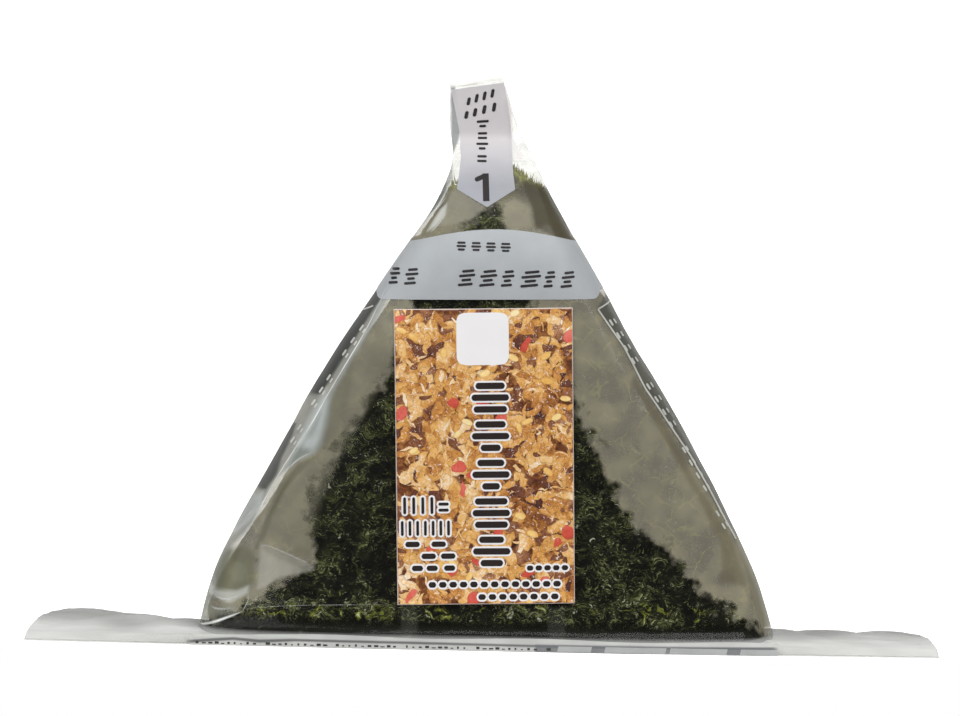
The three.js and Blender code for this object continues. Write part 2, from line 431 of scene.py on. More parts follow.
colour = add_node(
    tree, "ShaderNodeMix", {0: shadow, 6: colour, 7: srgb(NORI_DARK)}, data_type="RGBA"
).outputs[2]
torn_share = add_node(tree, "ShaderNodeAttribute", attribute_name="torn").outputs["Fac"]
coloured = add_node(
    tree, "ShaderNodeMix", {0: torn_share, 6: colour, 7: srgb(NORI_TORN)}, data_type="RGBA"
)
bump = add_node(tree, "ShaderNodeBump", {"Strength": 0.35, "Distance": 0.0003, "Height": clumps})
skin = add_node(
    tree,
    "ShaderNodeBsdfPrincipled",
    {
        "Base Color": coloured.outputs[2],
        "Roughness": 0.6,
        "Normal": bump,
        "IOR": 1.3,
        "Specular IOR Level": 0.2,
    },
)
add_node(tree, "ShaderNodeOutputMaterial", {"Surface": skin})

TORN_SHARE, TORN_DEPTH = 0.9, 1.3  # how bright the torn edge is, and how far down
CROWN_DROP = 6
rings = nori_rings()
middle_x = edges_at(0)[0]
nori = stack_rings(
    "nori_ball", rings, (middle_x, 0, NORI_FOOT_Z), (middle_x, 0, NORI_TOP_Z - CROWN_DROP), nori_sheet
)
below_edge = rings[NORI_ROWS - 1, :, 2] - rings[..., 2]
torn = TORN_SHARE * (1 - smooth_step(0, TORN_DEPTH, below_edge))
torn[NORI_ROWS:] = TORN_SHARE
keep(nori, "torn", [*np.ravel(torn), 0, 0])
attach(nori, "root")

# Tufts. Along the torn edge the seaweed ends in thin upright fibres of a brighter green. Each is a
# thin cone, planted on the edge at a random lean and size.
TUFT_LENGTH, TUFT_WIDTH, TUFT_LEAN = 1.2, 0.12, 0.35
TUFT_EDGE = (0.93, 0.62, 1)  # the tufts stand this far in from the edge, towards the middle


def new_group(name, output, **inputs):
    """A Geometry Nodes group with named inputs, and the sockets that give them."""
    group = bpy.data.node_groups.new(name, "GeometryNodeTree")
    for socket, kind in inputs.items():
        group.interface.new_socket(socket, in_out="INPUT", socket_type="NodeSocket" + kind)
    group.interface.new_socket(output, in_out="OUTPUT", socket_type="NodeSocketGeometry")
    return group, add_node(group, "NodeGroupInput").outputs


tufts, given = new_group(
    "torn_edge_tufts",
    "Tufts",
    Edge="Geometry",
    Seed="Int",
    Length="Float",
    Width="Float",
    Lean="Float",
    Seaweed="Material",
)
blade = add_node(
    tufts,
    "GeometryNodeMeshCone",
    {
        "Vertices": 5,
        "Side Segments": 3,
        "Radius Top": 0.00001,
        "Radius Bottom": given["Width"],
        "Depth": given["Length"],
    },
)
negative = add_node(tufts, "ShaderNodeMath", {0: given["Lean"], 1: -1.0}, operation="MULTIPLY")
lean_most = add_node(tufts, "ShaderNodeCombineXYZ", {0: given["Lean"], 1: given["Lean"], 2: 3.0})
lean_least = add_node(tufts, "ShaderNodeCombineXYZ", {0: negative, 1: negative, 2: -3.0})
lean = add_node(
    tufts,
    "FunctionNodeRandomValue",
    {"Min": lean_least, "Max": lean_most, "Seed": given["Seed"]},
    data_type="FLOAT_VECTOR",
)
stretch = add_node(
    tufts,
    "FunctionNodeRandomValue",
    {"Min": (0.6, 0.4, 0.25), "Max": (1.6, 1.0, 1.3), "Seed": given["Seed"]},
    data_type="FLOAT_VECTOR",
)
planted = add_node(
    tufts,
    "GeometryNodeInstanceOnPoints",
    {"Points": given["Edge"], "Instance": blade, "Rotation": lean, "Scale": stretch},
)
real = add_node(tufts, "GeometryNodeRealizeInstances", {"Geometry": planted})
grown = add_node(tufts, "GeometryNodeSetMaterial", {"Geometry": real, "Material": given["Seaweed"]})
add_node(tufts, "NodeGroupOutput", {0: grown})


def from_nodes(points, faces, group, **values):
    """The plain mesh that a node group makes from some points, in metres."""
    source = bpy.data.meshes.new("source")
    source.from_pydata((np.reshape(points, (-1, 3)) * MM).tolist(), [], faces)
    maker = new_object("maker", source)
    nodes = maker.modifiers.new(group.name, "NODES")
    nodes.node_group = group
    for socket in group.interface.items_tree:
        if socket.name in values:
            nodes[socket.identifier] = values[socket.name]
    evaluated = maker.evaluated_get(bpy.context.evaluated_depsgraph_get())
    made = bpy.data.meshes.new_from_object(evaluated)
    bpy.data.objects.remove(maker)
    bpy.data.meshes.remove(source)
    material = next(m for m in made.materials if m)
    made.materials.clear()
    made.materials.append(material)
    return made


edge = (rings[NORI_ROWS - 1] - [middle_x, 0, 0]) * TUFT_EDGE + [middle_x, 0, 0]
between_points = (edge + np.roll(edge, 1, axis=0)) / 2
tuft_mesh = from_nodes(
    np.concatenate([edge, between_points]),
    [],
    tufts,
    Seed=4,
    Length=TUFT_LENGTH * MM,
    Width=TUFT_WIDTH * MM,
    Lean=TUFT_LEAN,
    Seaweed=nori_sheet,
)
tuft_piece = new_object("nori_tufts", tuft_mesh)
keep(tuft_piece, "torn", np.full(len(tuft_mesh.vertices), TORN_SHARE))
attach(tuft_piece, "root")

# Film wrapper. One sheet of clear oriented polypropylene is folded round the nori, drawn up to a
# flat sealed tab and creased on the left, where it stands off. It shows the nori dark where it
# touches, milky where there is air behind it, and grey along both slanted edges.
CONTACT = [  # x, z corners of the field where film and nori touch
    (-0.5, 66), (-4.5, 62.5), (-11, 52), (-14, 42.5), (-18, 36.5), (-22.5, 29.5), (-26, 22.5),
    (-26, 18), (-25, 12.5), (-30, 9.5), (-36, 5.3), (-44, 1.6), (-44, 0), (45, 0), (44, 2.5), (40, 4.5),
    (36, 7), (32, 9.5), (30, 12.5), (27.5, 15.5), (24.5, 17), (22, 20), (17.5, 27), (16.5, 31),
    (13, 37), (6.5, 52), (2.5, 62.5), (1, 66.5),
]
MAIN_CREASE = [
    (-12, 60.5), (-15.5, 53), (-18.5, 46.5), (-22, 40.5), (-24, 37), (-26, 33), (-28, 30),
    (-29.5, 27.5), (-31, 25), (-32.5, 22.5), (-34.5, 18), (-38, 14),
]
INNER_FOLD = [
    (-17.5, 47), (-22.5, 40.5), (-24.5, 36.5), (-25.5, 29), (-28.5, 27), (-31, 23), (-33.5, 18)
]
LOW_CREASE = [(-43.5, 1.6), (-40.4, 2.6), (-38.2, 3.6), (-36, 4.6), (-32, 5.5), (-27, 6), (-13, 6.4)]
NECK_FOLDS = [
    [(-6.4, 69), (-8.6, 66.2), (-10.6, 63.4), (-11.6, 61.6)],
    [(-6.2, 68), (-7.2, 66.2), (-9.2, 64.2), (-10.8, 62.2)],
    [(-6, 72.4), (-5.4, 72.9), (-4.7, 73.2)],
    [(2.4, 81.6), (3.2, 77.2), (3.6, 75.8), (5.2, 73.6), (6.4, 72.2), (9, 68.6)],
]
# Each fold lifts the film towards the front by so much over such a width.
FOLDS = [(MAIN_CREASE, 0.5, 0.6), (INNER_FOLD, -0.4, 0.9), (LOW_CREASE, 0.25, 0.4)]
FOLDS += [(path, 0.3, 0.5) for path in NECK_FOLDS]
FOLDS += [([(-34, 13), (-33.5, 15), (-29, 13.5), (-25, 11.5)], 0.3, 0.7)]
FILM_SECTION = dict(front=210, side=44, back=72)
FILM_ROWS = 205
FILM_SLACK, SLACK_SIZE = 0.16, 7


def path_distance(x, z, path):
    """How far each point is from a path of x, z corners."""
    nearest = np.full(np.shape(x), np.inf)
    for (x0, z0), (x1, z1) in zip(path, path[1:]):
        length = max(math.hypot(x1 - x0, z1 - z0), 1e-6)
        along = ((x - x0) * (x1 - x0) + (z - z0) * (z1 - z0)) / length**2
        along = np.clip(along, 0, 1)
        gap = np.hypot(x - x0 - along * (x1 - x0), z - z0 - along * (z1 - z0))
        nearest = np.minimum(nearest, gap)
    return nearest


def inside_distance(x, z, corners):
    """How far each point is inside an outline, and below zero outside it."""
    inside = np.zeros(np.shape(x), bool)
    for (x0, z0), (x1, z1) in zip(corners, corners[1:] + corners[:1]):
        if z0 != z1:
            crossing = x0 + (z - z0) * (x1 - x0) / (z1 - z0)
            inside ^= ((z0 > z) != (z1 > z)) & (x < crossing)
    distance = path_distance(x, z, corners + corners[:1])
    return np.where(inside, distance, -distance)


def film_points(across, deep, z, lift=0):
    """Points on the film at a place on its level section, lifted clear of it by a distance."""
    across, deep, z = np.broadcast_arrays(across, deep, np.asarray(z, float))
    middle, half = edges_at(z)
    slant = TAB_SLANT * smooth_step(TAB_SLANT_FROM_Z, TAB_TOP_Z, z)
    x = middle + half * across
    points = np.stack([x, half_depth(z) * deep, z + slant * half * across], axis=-1)
    slack = FILM_SLACK * noise_at(points, SLACK_SIZE, 5) * smooth_step(0, 4, z)
    front = smooth_step(0, -0.8, deep)
    for path, height, width in FOLDS:
        folded = front * height * np.exp(-((path_distance(x, z, path) / width) ** 2))
        points[..., 1] -= folded
    return points + section_normals(across, deep, z) * (slack + lift)[..., None]


def on_front(x, z, lift=0):
    """Points on the film's front at x, z."""
    middle, half = edges_at(z)
    across = np.clip((x - middle) / half, -0.998, 0.998)
    return film_points(across, -rim(across), z, lift)


def over_clear(tree, share, skin, clear=(1, 1, 1, 1)):
    """A layer that covers what is behind it by a share, and lets it be seen for the rest."""
    window = add_node(tree, "ShaderNodeBsdfTransparent", {"Color": clear})
    return add_node(tree, "ShaderNodeMixShader", {0: share, 1: window, 2: skin})


def glossy_film(tree, layer, bump, roughness, ior, most):
    """A layer with the gloss of film on it, which grows at low angles, but only up to most."""
    gloss = add_node(tree, "ShaderNodeBsdfGlossy", {"Roughness": roughness, "Normal": bump})
    shine = add_node(tree, "ShaderNodeFresnel", {"IOR": ior, "Normal": bump})
    held_shine = add_node(tree, "ShaderNodeMath", {0: shine, 1: most}, operation="MINIMUM")
    return add_node(tree, "ShaderNodeMixShader", {0: held_shine, 1: layer, 2: gloss})


# Oriented polypropylene film: clear and glossy, with a haze that hides the nori where the film
# stands off it. The edge of the contact field follows the crinkles of the nori.
VEIL, VEIL_THREAD, VEIL_SHADE = "#aea890", "#bdb892", "#a29d8d"
CONTACT_SHARE = 0.004
clear_film, tree = new_material("clear_polypropylene_film")
in_mm = place_in_mm(tree)
contact = add_node(tree, "ShaderNodeAttribute", attribute_name="contact").outputs["Fac"]
crinkle = add_node(
    tree, "ShaderNodeTexNoise", {"Vector": in_mm, "Scale": 0.5, "Detail": 2, "Roughness": 0.5}
)
crinkled_edge = add_node(
    tree, "ShaderNodeMath", {0: crinkle, 1: 6.5, 2: contact}, operation="MULTIPLY_ADD"
)
touch = add_node(
    tree,
    "ShaderNodeMapRange",
    {"Value": crinkled_edge, "From Min": 2.2, "From Max": 4.3},
    interpolation_type="SMOOTHSTEP",
)
haze = add_node(tree, "ShaderNodeAttribute", attribute_name="haze").outputs["Fac"]
clouds = add_node(tree, "ShaderNodeTexNoise", {"Vector": in_mm, "Scale": 0.2, "Detail": 3})
uneven = add_node(
    tree,
    "ShaderNodeMapRange",
    {"Value": clouds, "From Min": 0.3, "From Max": 0.7, "To Min": 0.93, "To Max": 1.07},
)
uneven_haze = add_node(tree, "ShaderNodeMath", {0: haze, 1: uneven}, operation="MULTIPLY")
veil_share = add_node(
    tree, "ShaderNodeMapRange", {"Value": touch, "To Min": uneven_haze, "To Max": CONTACT_SHARE}
)
wavy = add_node(
    tree,
    "ShaderNodeVectorMath",
    {0: clouds.outputs["Color"], 1: (5, 5, 5), 2: in_mm},
    operation="MULTIPLY_ADD",
)
net = add_node(tree, "ShaderNodeTexVoronoi", {"Vector": wavy, "Scale": 0.3}, feature="DISTANCE_TO_EDGE")
net_share = add_node(
    tree,
    "ShaderNodeMapRange",
    {"Value": net.outputs["Distance"], "From Min": 0.05, "From Max": 0.01, "To Max": 0.8},
)
broken = add_node(tree, "ShaderNodeMapRange", {"Value": crinkle, "From Min": 0.42, "From Max": 0.6})
thread_share = add_node(tree, "ShaderNodeMath", {0: net_share, 1: broken}, operation="MULTIPLY")
shade_share = add_node(
    tree, "ShaderNodeMapRange", {"Value": clouds, "From Min": 0.6, "From Max": 0.4, "To Max": 0.9}
)
shaded_veil = add_node(
    tree, "ShaderNodeMix", {0: shade_share, 6: srgb(VEIL), 7: srgb(VEIL_SHADE)}, data_type="RGBA"
)
veil_colour = add_node(
    tree,
    "ShaderNodeMix",
    {0: thread_share, 6: shaded_veil.outputs[2], 7: srgb(VEIL_THREAD)},
    data_type="RGBA",
)
tint = add_node(tree, "ShaderNodeAttribute", attribute_name="tint")
milk_share = add_node(
    tree, "ShaderNodeMix", {0: veil_share, 2: tint.outputs["Alpha"], 3: 1.0}, data_type="FLOAT"
)
tint_share = add_node(
    tree, "ShaderNodeMath", {0: tint.outputs["Alpha"], 1: milk_share}, operation="DIVIDE"
)
painted = add_node(
    tree,
    "ShaderNodeMix",
    {0: tint_share, 6: veil_colour.outputs[2], 7: tint.outputs["Color"]},
    data_type="RGBA",
)
cloudy = add_node(
    tree,
    "ShaderNodeMapRange",
    {"Value": clouds, "From Min": 0.3, "From Max": 0.7, "To Min": 0.9, "To Max": 1.08},
)
milk_colour = add_node(
    tree, "ShaderNodeVectorMath", {0: painted.outputs[2], "Scale": cloudy}, operation="SCALE"
)
fine = add_node(tree, "ShaderNodeTexNoise", {"Vector": in_mm, "Scale": 0.35, "Detail": 2})
film_bump = add_node(tree, "ShaderNodeBump", {"Strength": 0.2, "Distance": 0.0004, "Height": fine})
milk = add_node(
    tree, "ShaderNodeBsdfPrincipled", {"Base Color": milk_colour, "Roughness": 0.5, "IOR": 1.2}
)
sheet = over_clear(tree, milk_share, milk, (0.97, 0.97, 0.96, 1))
finish = glossy_film(tree, sheet, film_bump, 0.12, 1.25, 0.05)
add_node(tree, "ShaderNodeOutputMaterial", {"Surface": finish})

# The fields that are painted over the haze: colour, share, softness of the edge, and corners.
# Painted reflection: the white zone beside the main crease on the left margin.
WHITE_ZONE = [
    *MAIN_CREASE[:9], (-28, 27.4), (-25.4, 28.6), (-24.3, 30), (-23.4, 33), (-23.3, 36), (-22.4, 38.6),
    (-21, 41.2), (-18.7, 45.3), (-15.8, 50.6), (-12.6, 57), (-10.6, 60.5),
]
TINTS = [
    # Left margin: painted shade over the whole of it, then the white zone of painted reflection with a
    # painted highlight in its middle and painted shadow along its inner side
    ("#686b65", 0.65, 0.4, [(-13, 61), *MAIN_CREASE[1:], (-39, 8), (-46, -1), (-46, 20), (-20, 62)]),
    ("#8e9491", 0.8, 0.3, WHITE_ZONE),
    ("#b4bab8", 0.65, 0.5, [
        (-24, 38.5), (-26.5, 34), (-28.6, 29.8), (-26, 29), (-24.7, 31), (-23.8, 36),
    ]),
    ("#5f5e4f", 0.6, 0.5, [
        (-19.8, 43.6), (-20.6, 41.5), (-23, 37.6), (-23.8, 33), (-24.7, 29.4), (-22, 32), (-20.4, 38),
    ]),
    # Painted shadow: a thin dark line between the white zone and the veil.
    ("#4f4e3c", 0.7, 0.3, [
        (-25, 28.3), (-28, 27), (-30.8, 23.6), (-32.6, 19.4), (-34.4, 14), (-33.4, 14), (-31.6, 19),
        (-29.4, 23.6), (-27, 26.4),
    ]),
    # Painted shade over the veil inside the white zone.
    ("#66634f", 0.45, 0.9, [
        (-20.5, 42), (-23, 37), (-24.5, 30), (-27, 27), (-31, 22), (-34, 14), (-30, 13), (-26, 13),
        (-25, 20), (-22, 28), (-17.5, 36), (-14, 44), (-16, 48),
    ]),
    # The outer strip that bears small print: dark, with a pale stretch and a streak between
    ("#353735", 0.92, 0.2, [
        (-15, 53.4), (-17.2, 50.2), (-20.7, 44.4), (-23.6, 39.3), (-25, 37.2), (-29, 37), (-22, 50),
        (-18, 55),
    ]),
    ("#373937", 0.85, 0.25, [
        (-36, 33), (-28.6, 32.6), (-29.1, 31), (-30.7, 27.4), (-31.2, 25.2), (-33, 22.6), (-38, 22.6),
    ]),
    ("#4a4c4a", 0.6, 0.3, [
        (-34.6, 21.4), (-33.9, 20.6), (-36, 18), (-37.6, 16.4), (-40, 16.4), (-37, 21),
    ]),
    ("#b7bbb9", 0.6, 0.4, [
        (-33.3, 22.4), (-33.2, 20.4), (-35, 18.2), (-38.4, 15.1), (-40, 15.4), (-36.8, 20.4),
    ]),
    # The patch of nori seen low on the left, the pale facet beside it, and the milky foot
    ("#55573f", 0.6, 0.6, [
        (-38.5, 13.5), (-36, 14.5), (-34.5, 13.5), (-34, 9.5), (-35, 8), (-37, 7.3), (-40, 7.5),
        (-40.8, 9.5), (-39.5, 12.5),
    ]),
    ("#7b7c66", 0.4, 0.4, [
        (-37.6, 11.6), (-36.2, 12), (-35.4, 10.6), (-36, 9), (-37.6, 9), (-38.4, 10.4),
    ]),
    ("#a9a79d", 0.5, 0.3, [
        (-33.5, 15), (-29, 13.5), (-26.5, 12.5), (-25, 11.5), (-26, 11), (-30.5, 10), (-32.5, 8.5),
        (-33.8, 8),
    ]),
    ("#bdc0bb", 0.55, 0.3, [
        (-41.5, 6.6), (-38, 5.6), (-35.2, 7.4), (-35, 8.6), (-37, 7.6), (-40, 7.4), (-42, 8),
    ]),
    ("#7c7e74", 0.5, 0.3, [(-43.5, 2.2), (-40.4, 3), (-36.4, 4.9), (-37.6, 5.4), (-42.6, 4.6)]),
    # Right margin: the printed strip, and a stretch where nori shows more darkly
    ("#4e4e49", 0.85, 0.25, [
        (17.5, 53), (16.2, 51), (20.3, 45.4), (23.7, 39.3), (27, 34.5), (30.8, 29.2), (34.4, 22.8),
        (38.3, 16.4), (42, 16), (24, 53),
    ]),
    ("#5c553f", 0.5, 0.4, [
        (22, 41), (25.8, 35.5), (29.5, 29.5), (31.7, 25.1), (34.7, 20.6), (37.5, 16.5), (38.2, 13.9),
        (39.6, 9.6), (37, 10.2), (35.3, 10.5), (35.8, 12.4), (35.5, 16.1), (32.9, 21.3), (30.2, 25.8),
        (27.6, 30.3), (24.4, 35.5), (21.5, 40),
    ]),
    ("#77735f", 0.85, 0.3, [(37.8, 17), (39.5, 12), (41.2, 7), (42.4, 3), (46, 3), (44, 17)]),
    # The shade just over the base fold
    ("#15170f", 0.55, 0.8, [(-40, 3.9), (40, 3.7), (43, 1.8), (-43, 1.8)]),
    # Neck: folds of film over the white ground on the left, in painted shade beside the strip, on the
    # shoulder and along one fold, with a painted highlight beside that fold; and dark and pale nori
    # round the tip
    # Painted shade in the fold of film left of the strip.
    ("#808284", 0.85, 0.25, [
        (-6.4, 84), (-6.2, 76.4), (-5.9, 73.6), (-5.1, 75.6), (-4.8, 77.2), (-5.2, 78.5), (-5.5, 81),
        (-5.7, 84),
    ]),
    # Painted shade on the left shoulder.
    ("#868986", 0.75, 0.3, [
        (-6.9, 77), (-6, 74), (-5.8, 70), (-6.6, 68), (-8.6, 65.4), (-12, 60.4), (-17, 57), (-12, 66),
        (-7.4, 71.4),
    ]),
    # Painted shade along a fold of the film.
    ("#50524c", 0.85, 0.2, [
        (-6.6, 69.4), (-6.8, 68), (-7.4, 66.8), (-8.4, 65.2), (-9.8, 63.4), (-8.8, 66.4), (-7.2, 68.8),
    ]),
    # Painted highlight beside that fold.
    ("#c6c8c3", 0.7, 0.25, [
        (-6.5, 66.2), (-6.7, 64.4), (-8.2, 62.8), (-9.4, 62), (-8.4, 63.8), (-7.4, 65.4),
    ]),
    ("#8f8d7f", 0.4, 0.3, [
        (-6, 68), (-4.8, 68.6), (-0.8, 65.8), (-1.6, 64.8), (-3.6, 63.6), (-8, 62.8), (-6.4, 66.2),
    ]),
    ("#938e7c", 0.4, 0.4, [(1.8, 66.2), (3.6, 67.2), (6, 66), (6.2, 63), (2.4, 62.8)]),
    ("#443f2e", 0.9, 0.3, [
        (4.8, 70), (8.6, 68.8), (11.2, 64.8), (13, 60), (6.8, 63), (6.4, 65.6), (5.2, 68.4),
    ]),
    ("#d6d2d1", 0.75, 0.3, [(3, 72.8), (5, 73), (3.3, 76), (2.6, 84), (1.6, 84)]),
    ("#f5f5ee", 0.8, 0.2, [(-7.5, 83.7), (4, 85.2), (4, 90), (-9, 90)]),
    ("#a2a4a1", 0.8, 0.3, [(-46, 1.7), (46, 1.7), (46, -3), (-46, -3)]),
    # Faint double strips of film down from the lower corners of the label
    ("#7c7e74", 0.09, 0.15, [(-12.3, 6.5), (-9.7, 6.5), (-9.5, 1.4), (-12.1, 1.4)]),
    ("#7c7e74", 0.09, 0.15, [(9.8, 6.5), (12.4, 6.5), (12.5, 1.4), (9.9, 1.4)]),
]


def paint(fields, x, z, visible):
    """The colour and share of painted fields at each point, one laid over the other."""
    tint = np.zeros((*x.shape, 4))
    for colour, share, soft, corners in fields:
        amount = share * visible * smooth_step(-soft, soft, inside_distance(x, z, corners))
        left = tint[..., 3] * (1 - amount)
        total = amount + left
        mixed = tint[..., :3] * left[..., None] + np.array(srgb(colour)[:3]) * amount[..., None]
        tint[..., :3] = mixed / np.maximum(total, 1e-6)[..., None]
        tint[..., 3] = total
    return tint


BARE_FILM_Z = 71
REAR_CONTACT_SHARE, REAR_CONTACT_INSET = 1.15, 1
SIDE_STAND_OFF = 6
HAZE_SHARE, NECK_HAZE_LOSS, TAB_HAZE_LOSS = 0.5, 0.14, 0.16
across, deep = unit_section(**FILM_SECTION)
rows_z = TAB_TOP_Z * np.linspace(0, 1, FILM_ROWS)[:, None]
rings = film_points(across, deep, rows_z)
tab_top = rings[-1].mean(axis=0)
film = stack_rings("film_wrapper", rings, (middle_x, 0, 0), tab_top, clear_film)
x, y, z = np.moveaxis(rings, -1, 0)
front = smooth_step(-0.15, -0.5, np.broadcast_to(deep, x.shape))
contact_mm = np.where(z > BARE_FILM_Z, 0, inside_distance(x, z, CONTACT))
rear = inside_distance(-x * REAR_CONTACT_SHARE, z, CONTACT) - REAR_CONTACT_INSET
stand_off = SIDE_STAND_OFF * smooth_step(0.6, 0.95, 1 - np.abs(deep))
contact_mm = np.where(y < 0, contact_mm, rear) - stand_off
keep(film, "contact", [*np.ravel(contact_mm), 5, 0])
haze = HAZE_SHARE - NECK_HAZE_LOSS * smooth_step(58, 66, z) - TAB_HAZE_LOSS * smooth_step(66, 69, z)
keep(film, "haze", [*np.ravel(haze), HAZE_SHARE, HAZE_SHARE])
tints = np.concatenate([paint(TINTS, x, z, front).reshape(-1, 4), np.full((2, 4), 0.5)])
keep(film, "tint", tints, "FLOAT_COLOR", "color")
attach(film, "root")
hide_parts("film_pack")
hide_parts("film_pack")

# Wings. The flattened ends of the same sheet run out under the base as two loose layers sealed
# along their edges. They lie on the table and are crumpled, so they look whitish; painted shade
# darkens them towards the rear, with painted streaks of shade and light.
WING_TIP_X, WING_ROOT_X = 68.25, 40
BASE_FRONT_Y, WING_FRONT_TIP_Y, WING_REAR_ROOT_Y = -18.9, -17.8, -3
WING_TIP_ROUNDING = 4
WING_THICKNESS, WING_EDGE_THICKNESS, WING_EDGE_SHARE = 0.7, 0.12, 0.12
WING_CLEARANCE = 0.15
WINGS = {
    -1: dict(corner_x=62.5, corner_y=5, root_rise=0.3, corner_rise=1.2, ripple=0.35),
    1: dict(corner_x=66, corner_y=0.5, root_rise=0.9, corner_rise=0.3, ripple=0.4),
}
WING_STEPS_LONG, WING_STEPS_ACROSS = 460, 70


def wing_points(u, v, top):
    """Points of one layer of the wings, u from tip to tip and v from the front fold back."""
    towards_tip = 2 * u - 1
    values = {key: np.where(towards_tip < 0, WINGS[-1][key], WINGS[1][key]) for key in WINGS[1]}
    reach = WING_TIP_X + (values["corner_x"] - WING_TIP_X) * v**WING_TIP_ROUNDING
    x = towards_tip * reach
    along = np.clip((np.abs(x) - WING_ROOT_X) / (reach - WING_ROOT_X), 0, 1)
    front_y = BASE_FRONT_Y + (WING_FRONT_TIP_Y - BASE_FRONT_Y) * towards_tip**2
    rear_y = WING_REAR_ROOT_Y + (values["corner_y"] - WING_REAR_ROOT_Y) * along
    y = front_y + (rear_y - front_y) * v
    rise = values["root_rise"] + (values["corner_rise"] - values["root_rise"]) * along
    ripple = np.abs(values["ripple"] * np.sin(9 * along + 4 * v) * v)
    from_edge = np.clip(np.minimum(v, 1 - v) / WING_EDGE_SHARE, 0, 1)
    thickness = WING_EDGE_THICKNESS + (WING_THICKNESS - WING_EDGE_THICKNESS) * from_edge
    flat = np.stack([x * 0.35, y, 0 * x], axis=-1)
    crumple = from_edge * smooth_step(36, 46, np.abs(x))
    crumple = crumple * (0.35 * ridges_at(flat, 5, 11) + 0.2 * noise_at(flat, 2.2, 4))
    z = WING_CLEARANCE + rise * v**1.5 + ripple + top * (thickness + np.maximum(crumple, 0))
    return np.stack([x, y, z], axis=-1)


def rim_faces(rows, columns):
    """Faces round the edge of a thin sheet, from its first grid of points to its second."""
    border = list(range(columns))
    border += [row * columns + columns - 1 for row in range(1, rows)]
    border += [(rows - 1) * columns + column for column in range(columns - 2, -1, -1)]
    border += [row * columns for row in range(rows - 2, 0, -1)]
    behind = rows * columns
    edges = zip(border, border[1:] + border[:1])
    return [(here, here + behind, beyond + behind, beyond) for here, beyond in edges]


# Two loose layers of the same film: crumpled, so the haze of many small facets turns it whitish. Its
# colour goes towards WING_SHADE where the wings carry painted shade.
WING_HAZE, WING_SHADE = "#e2e2df", "#868683"
doubled_film, tree = new_material("doubled_polypropylene_film")
in_mm = place_in_mm(tree, (350, 1000, 1000))
streaks = add_node(tree, "ShaderNodeTexNoise", {"Vector": in_mm, "Scale": 0.25, "Detail": 4})
haze_share = add_node(
    tree,
    "ShaderNodeMapRange",
    {"Value": streaks, "From Min": 0.3, "From Max": 0.7, "To Min": 0.72, "To Max": 0.86},
)
shade = add_node(tree, "ShaderNodeAttribute", attribute_name="shade").outputs["Fac"]
wing_colour = add_node(
    tree, "ShaderNodeMix", {0: shade, 6: srgb(WING_HAZE), 7: srgb(WING_SHADE)}, data_type="RGBA"
)
wing_bump = add_node(tree, "ShaderNodeBump", {"Strength": 0.4, "Distance": 0.0006, "Height": streaks})
haze = add_node(
    tree,
    "ShaderNodeBsdfPrincipled",
    {"Base Color": wing_colour.outputs[2], "Roughness": 0.4, "Normal": wing_bump},
)
sheet = over_clear(tree, haze_share, haze, (0.95, 0.95, 0.95, 1))
finish = glossy_film(tree, sheet, wing_bump, 0.15, 1.49, 0.15)
add_node(tree, "ShaderNodeOutputMaterial", {"Surface": finish})

u = np.linspace(0, 1, WING_STEPS_LONG + 1)[:, None]
v = np.linspace(0, 1, WING_STEPS_ACROSS + 1)[None, :]
u, v = np.broadcast_arrays(u, v)
layers = [wing_points(u, v, 0), wing_points(u, v, 1)]
faces = [tuple(reversed(face)) for face in grid_faces(*u.shape)]
faces += grid_faces(*u.shape, first=u.size) + rim_faces(*u.shape)
wings = mesh_object("film_wings", layers, faces, doubled_film)
# Painted shade: darker towards the rear of the wings, with streaks of painted shade and light.
streak = noise_at(np.stack([u * 60, v * 9, 0 * u], axis=-1), 4, 2)
shading = np.clip(0.85 * smooth_step(0.2, 0.9, v) + 0.6 * streak, 0, 1)
keep(wings, "shade", [shading, shading])
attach(wings, "root")
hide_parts("film_pack")

# Base fold. The film's front edge is turned up over the skirt in a narrow straight band, which
# runs on into both wings. It is grey and wavy where the layers stick, and bears small print.
FOLD_HALF_LENGTH = 64
FOLD_TOP_Z = 1.75
FOLD_FOOT_Z = 0.08
FOLD_FORWARD = 0.3
FOLD_LEAN = 0.55
FOLD_WAVE, FOLD_WAVE_SIZE = 0.07, 5
FOLD_HAZE = 0.3
FOLD_STEPS_LONG, FOLD_STEPS_UP = 420, 22
BODY_END_X, FOLD_ENDS_X = 43, 62
FOLD_TINTS = [
    ("#adaeac", 0.88, 0.3, [(-70, 3), (70, 3), (70, -1), (-70, -1)]),
    ("#4d4f4e", 0.9, 0.12, [
        (-44, 0.7), (-40, 1.05), (-37, 1.25), (-33, 1), (-28, 1.2), (-8, 1.15), (12, 1), (25, 0.95),
        (44, 1.3), (44, 0.95), (25, 0.65), (12, 0.7), (-8, 0.8), (-28, 0.85), (-33, 0.55), (-37, 0.85),
        (-44, 0.3),
    ]),
    ("#54575a", 0.85, 0.15, [(8, 1.1), (45, 1.2), (45, 0), (8, 0)]),
    ("#b4b6b1", 0.8, 0.15, [(-43, 2.2), (-39, 2), (-37, 1.6), (-39, 1.35), (-43, 1.2)]),
    ("#b4b6b1", 0.8, 0.15, [(-34, 1.5), (-32, 2.1), (-30, 1.9), (-27, 1.5), (-32, 1.3)]),
]


def fold_points(x, z, lift=0):
    """Points on the front of the base fold."""
    x, z = np.broadcast_arrays(x, np.asarray(z, float))
    front = BASE_FRONT_Y + (WING_FRONT_TIP_Y - BASE_FRONT_Y) * (x / WING_TIP_X) ** 2
    wave = FOLD_WAVE * noise_at(np.stack([x, 3 * z, 0 * x], axis=-1), FOLD_WAVE_SIZE, 1)
    return np.stack([x, front - FOLD_FORWARD + FOLD_LEAN * z + wave - lift, z], axis=-1)


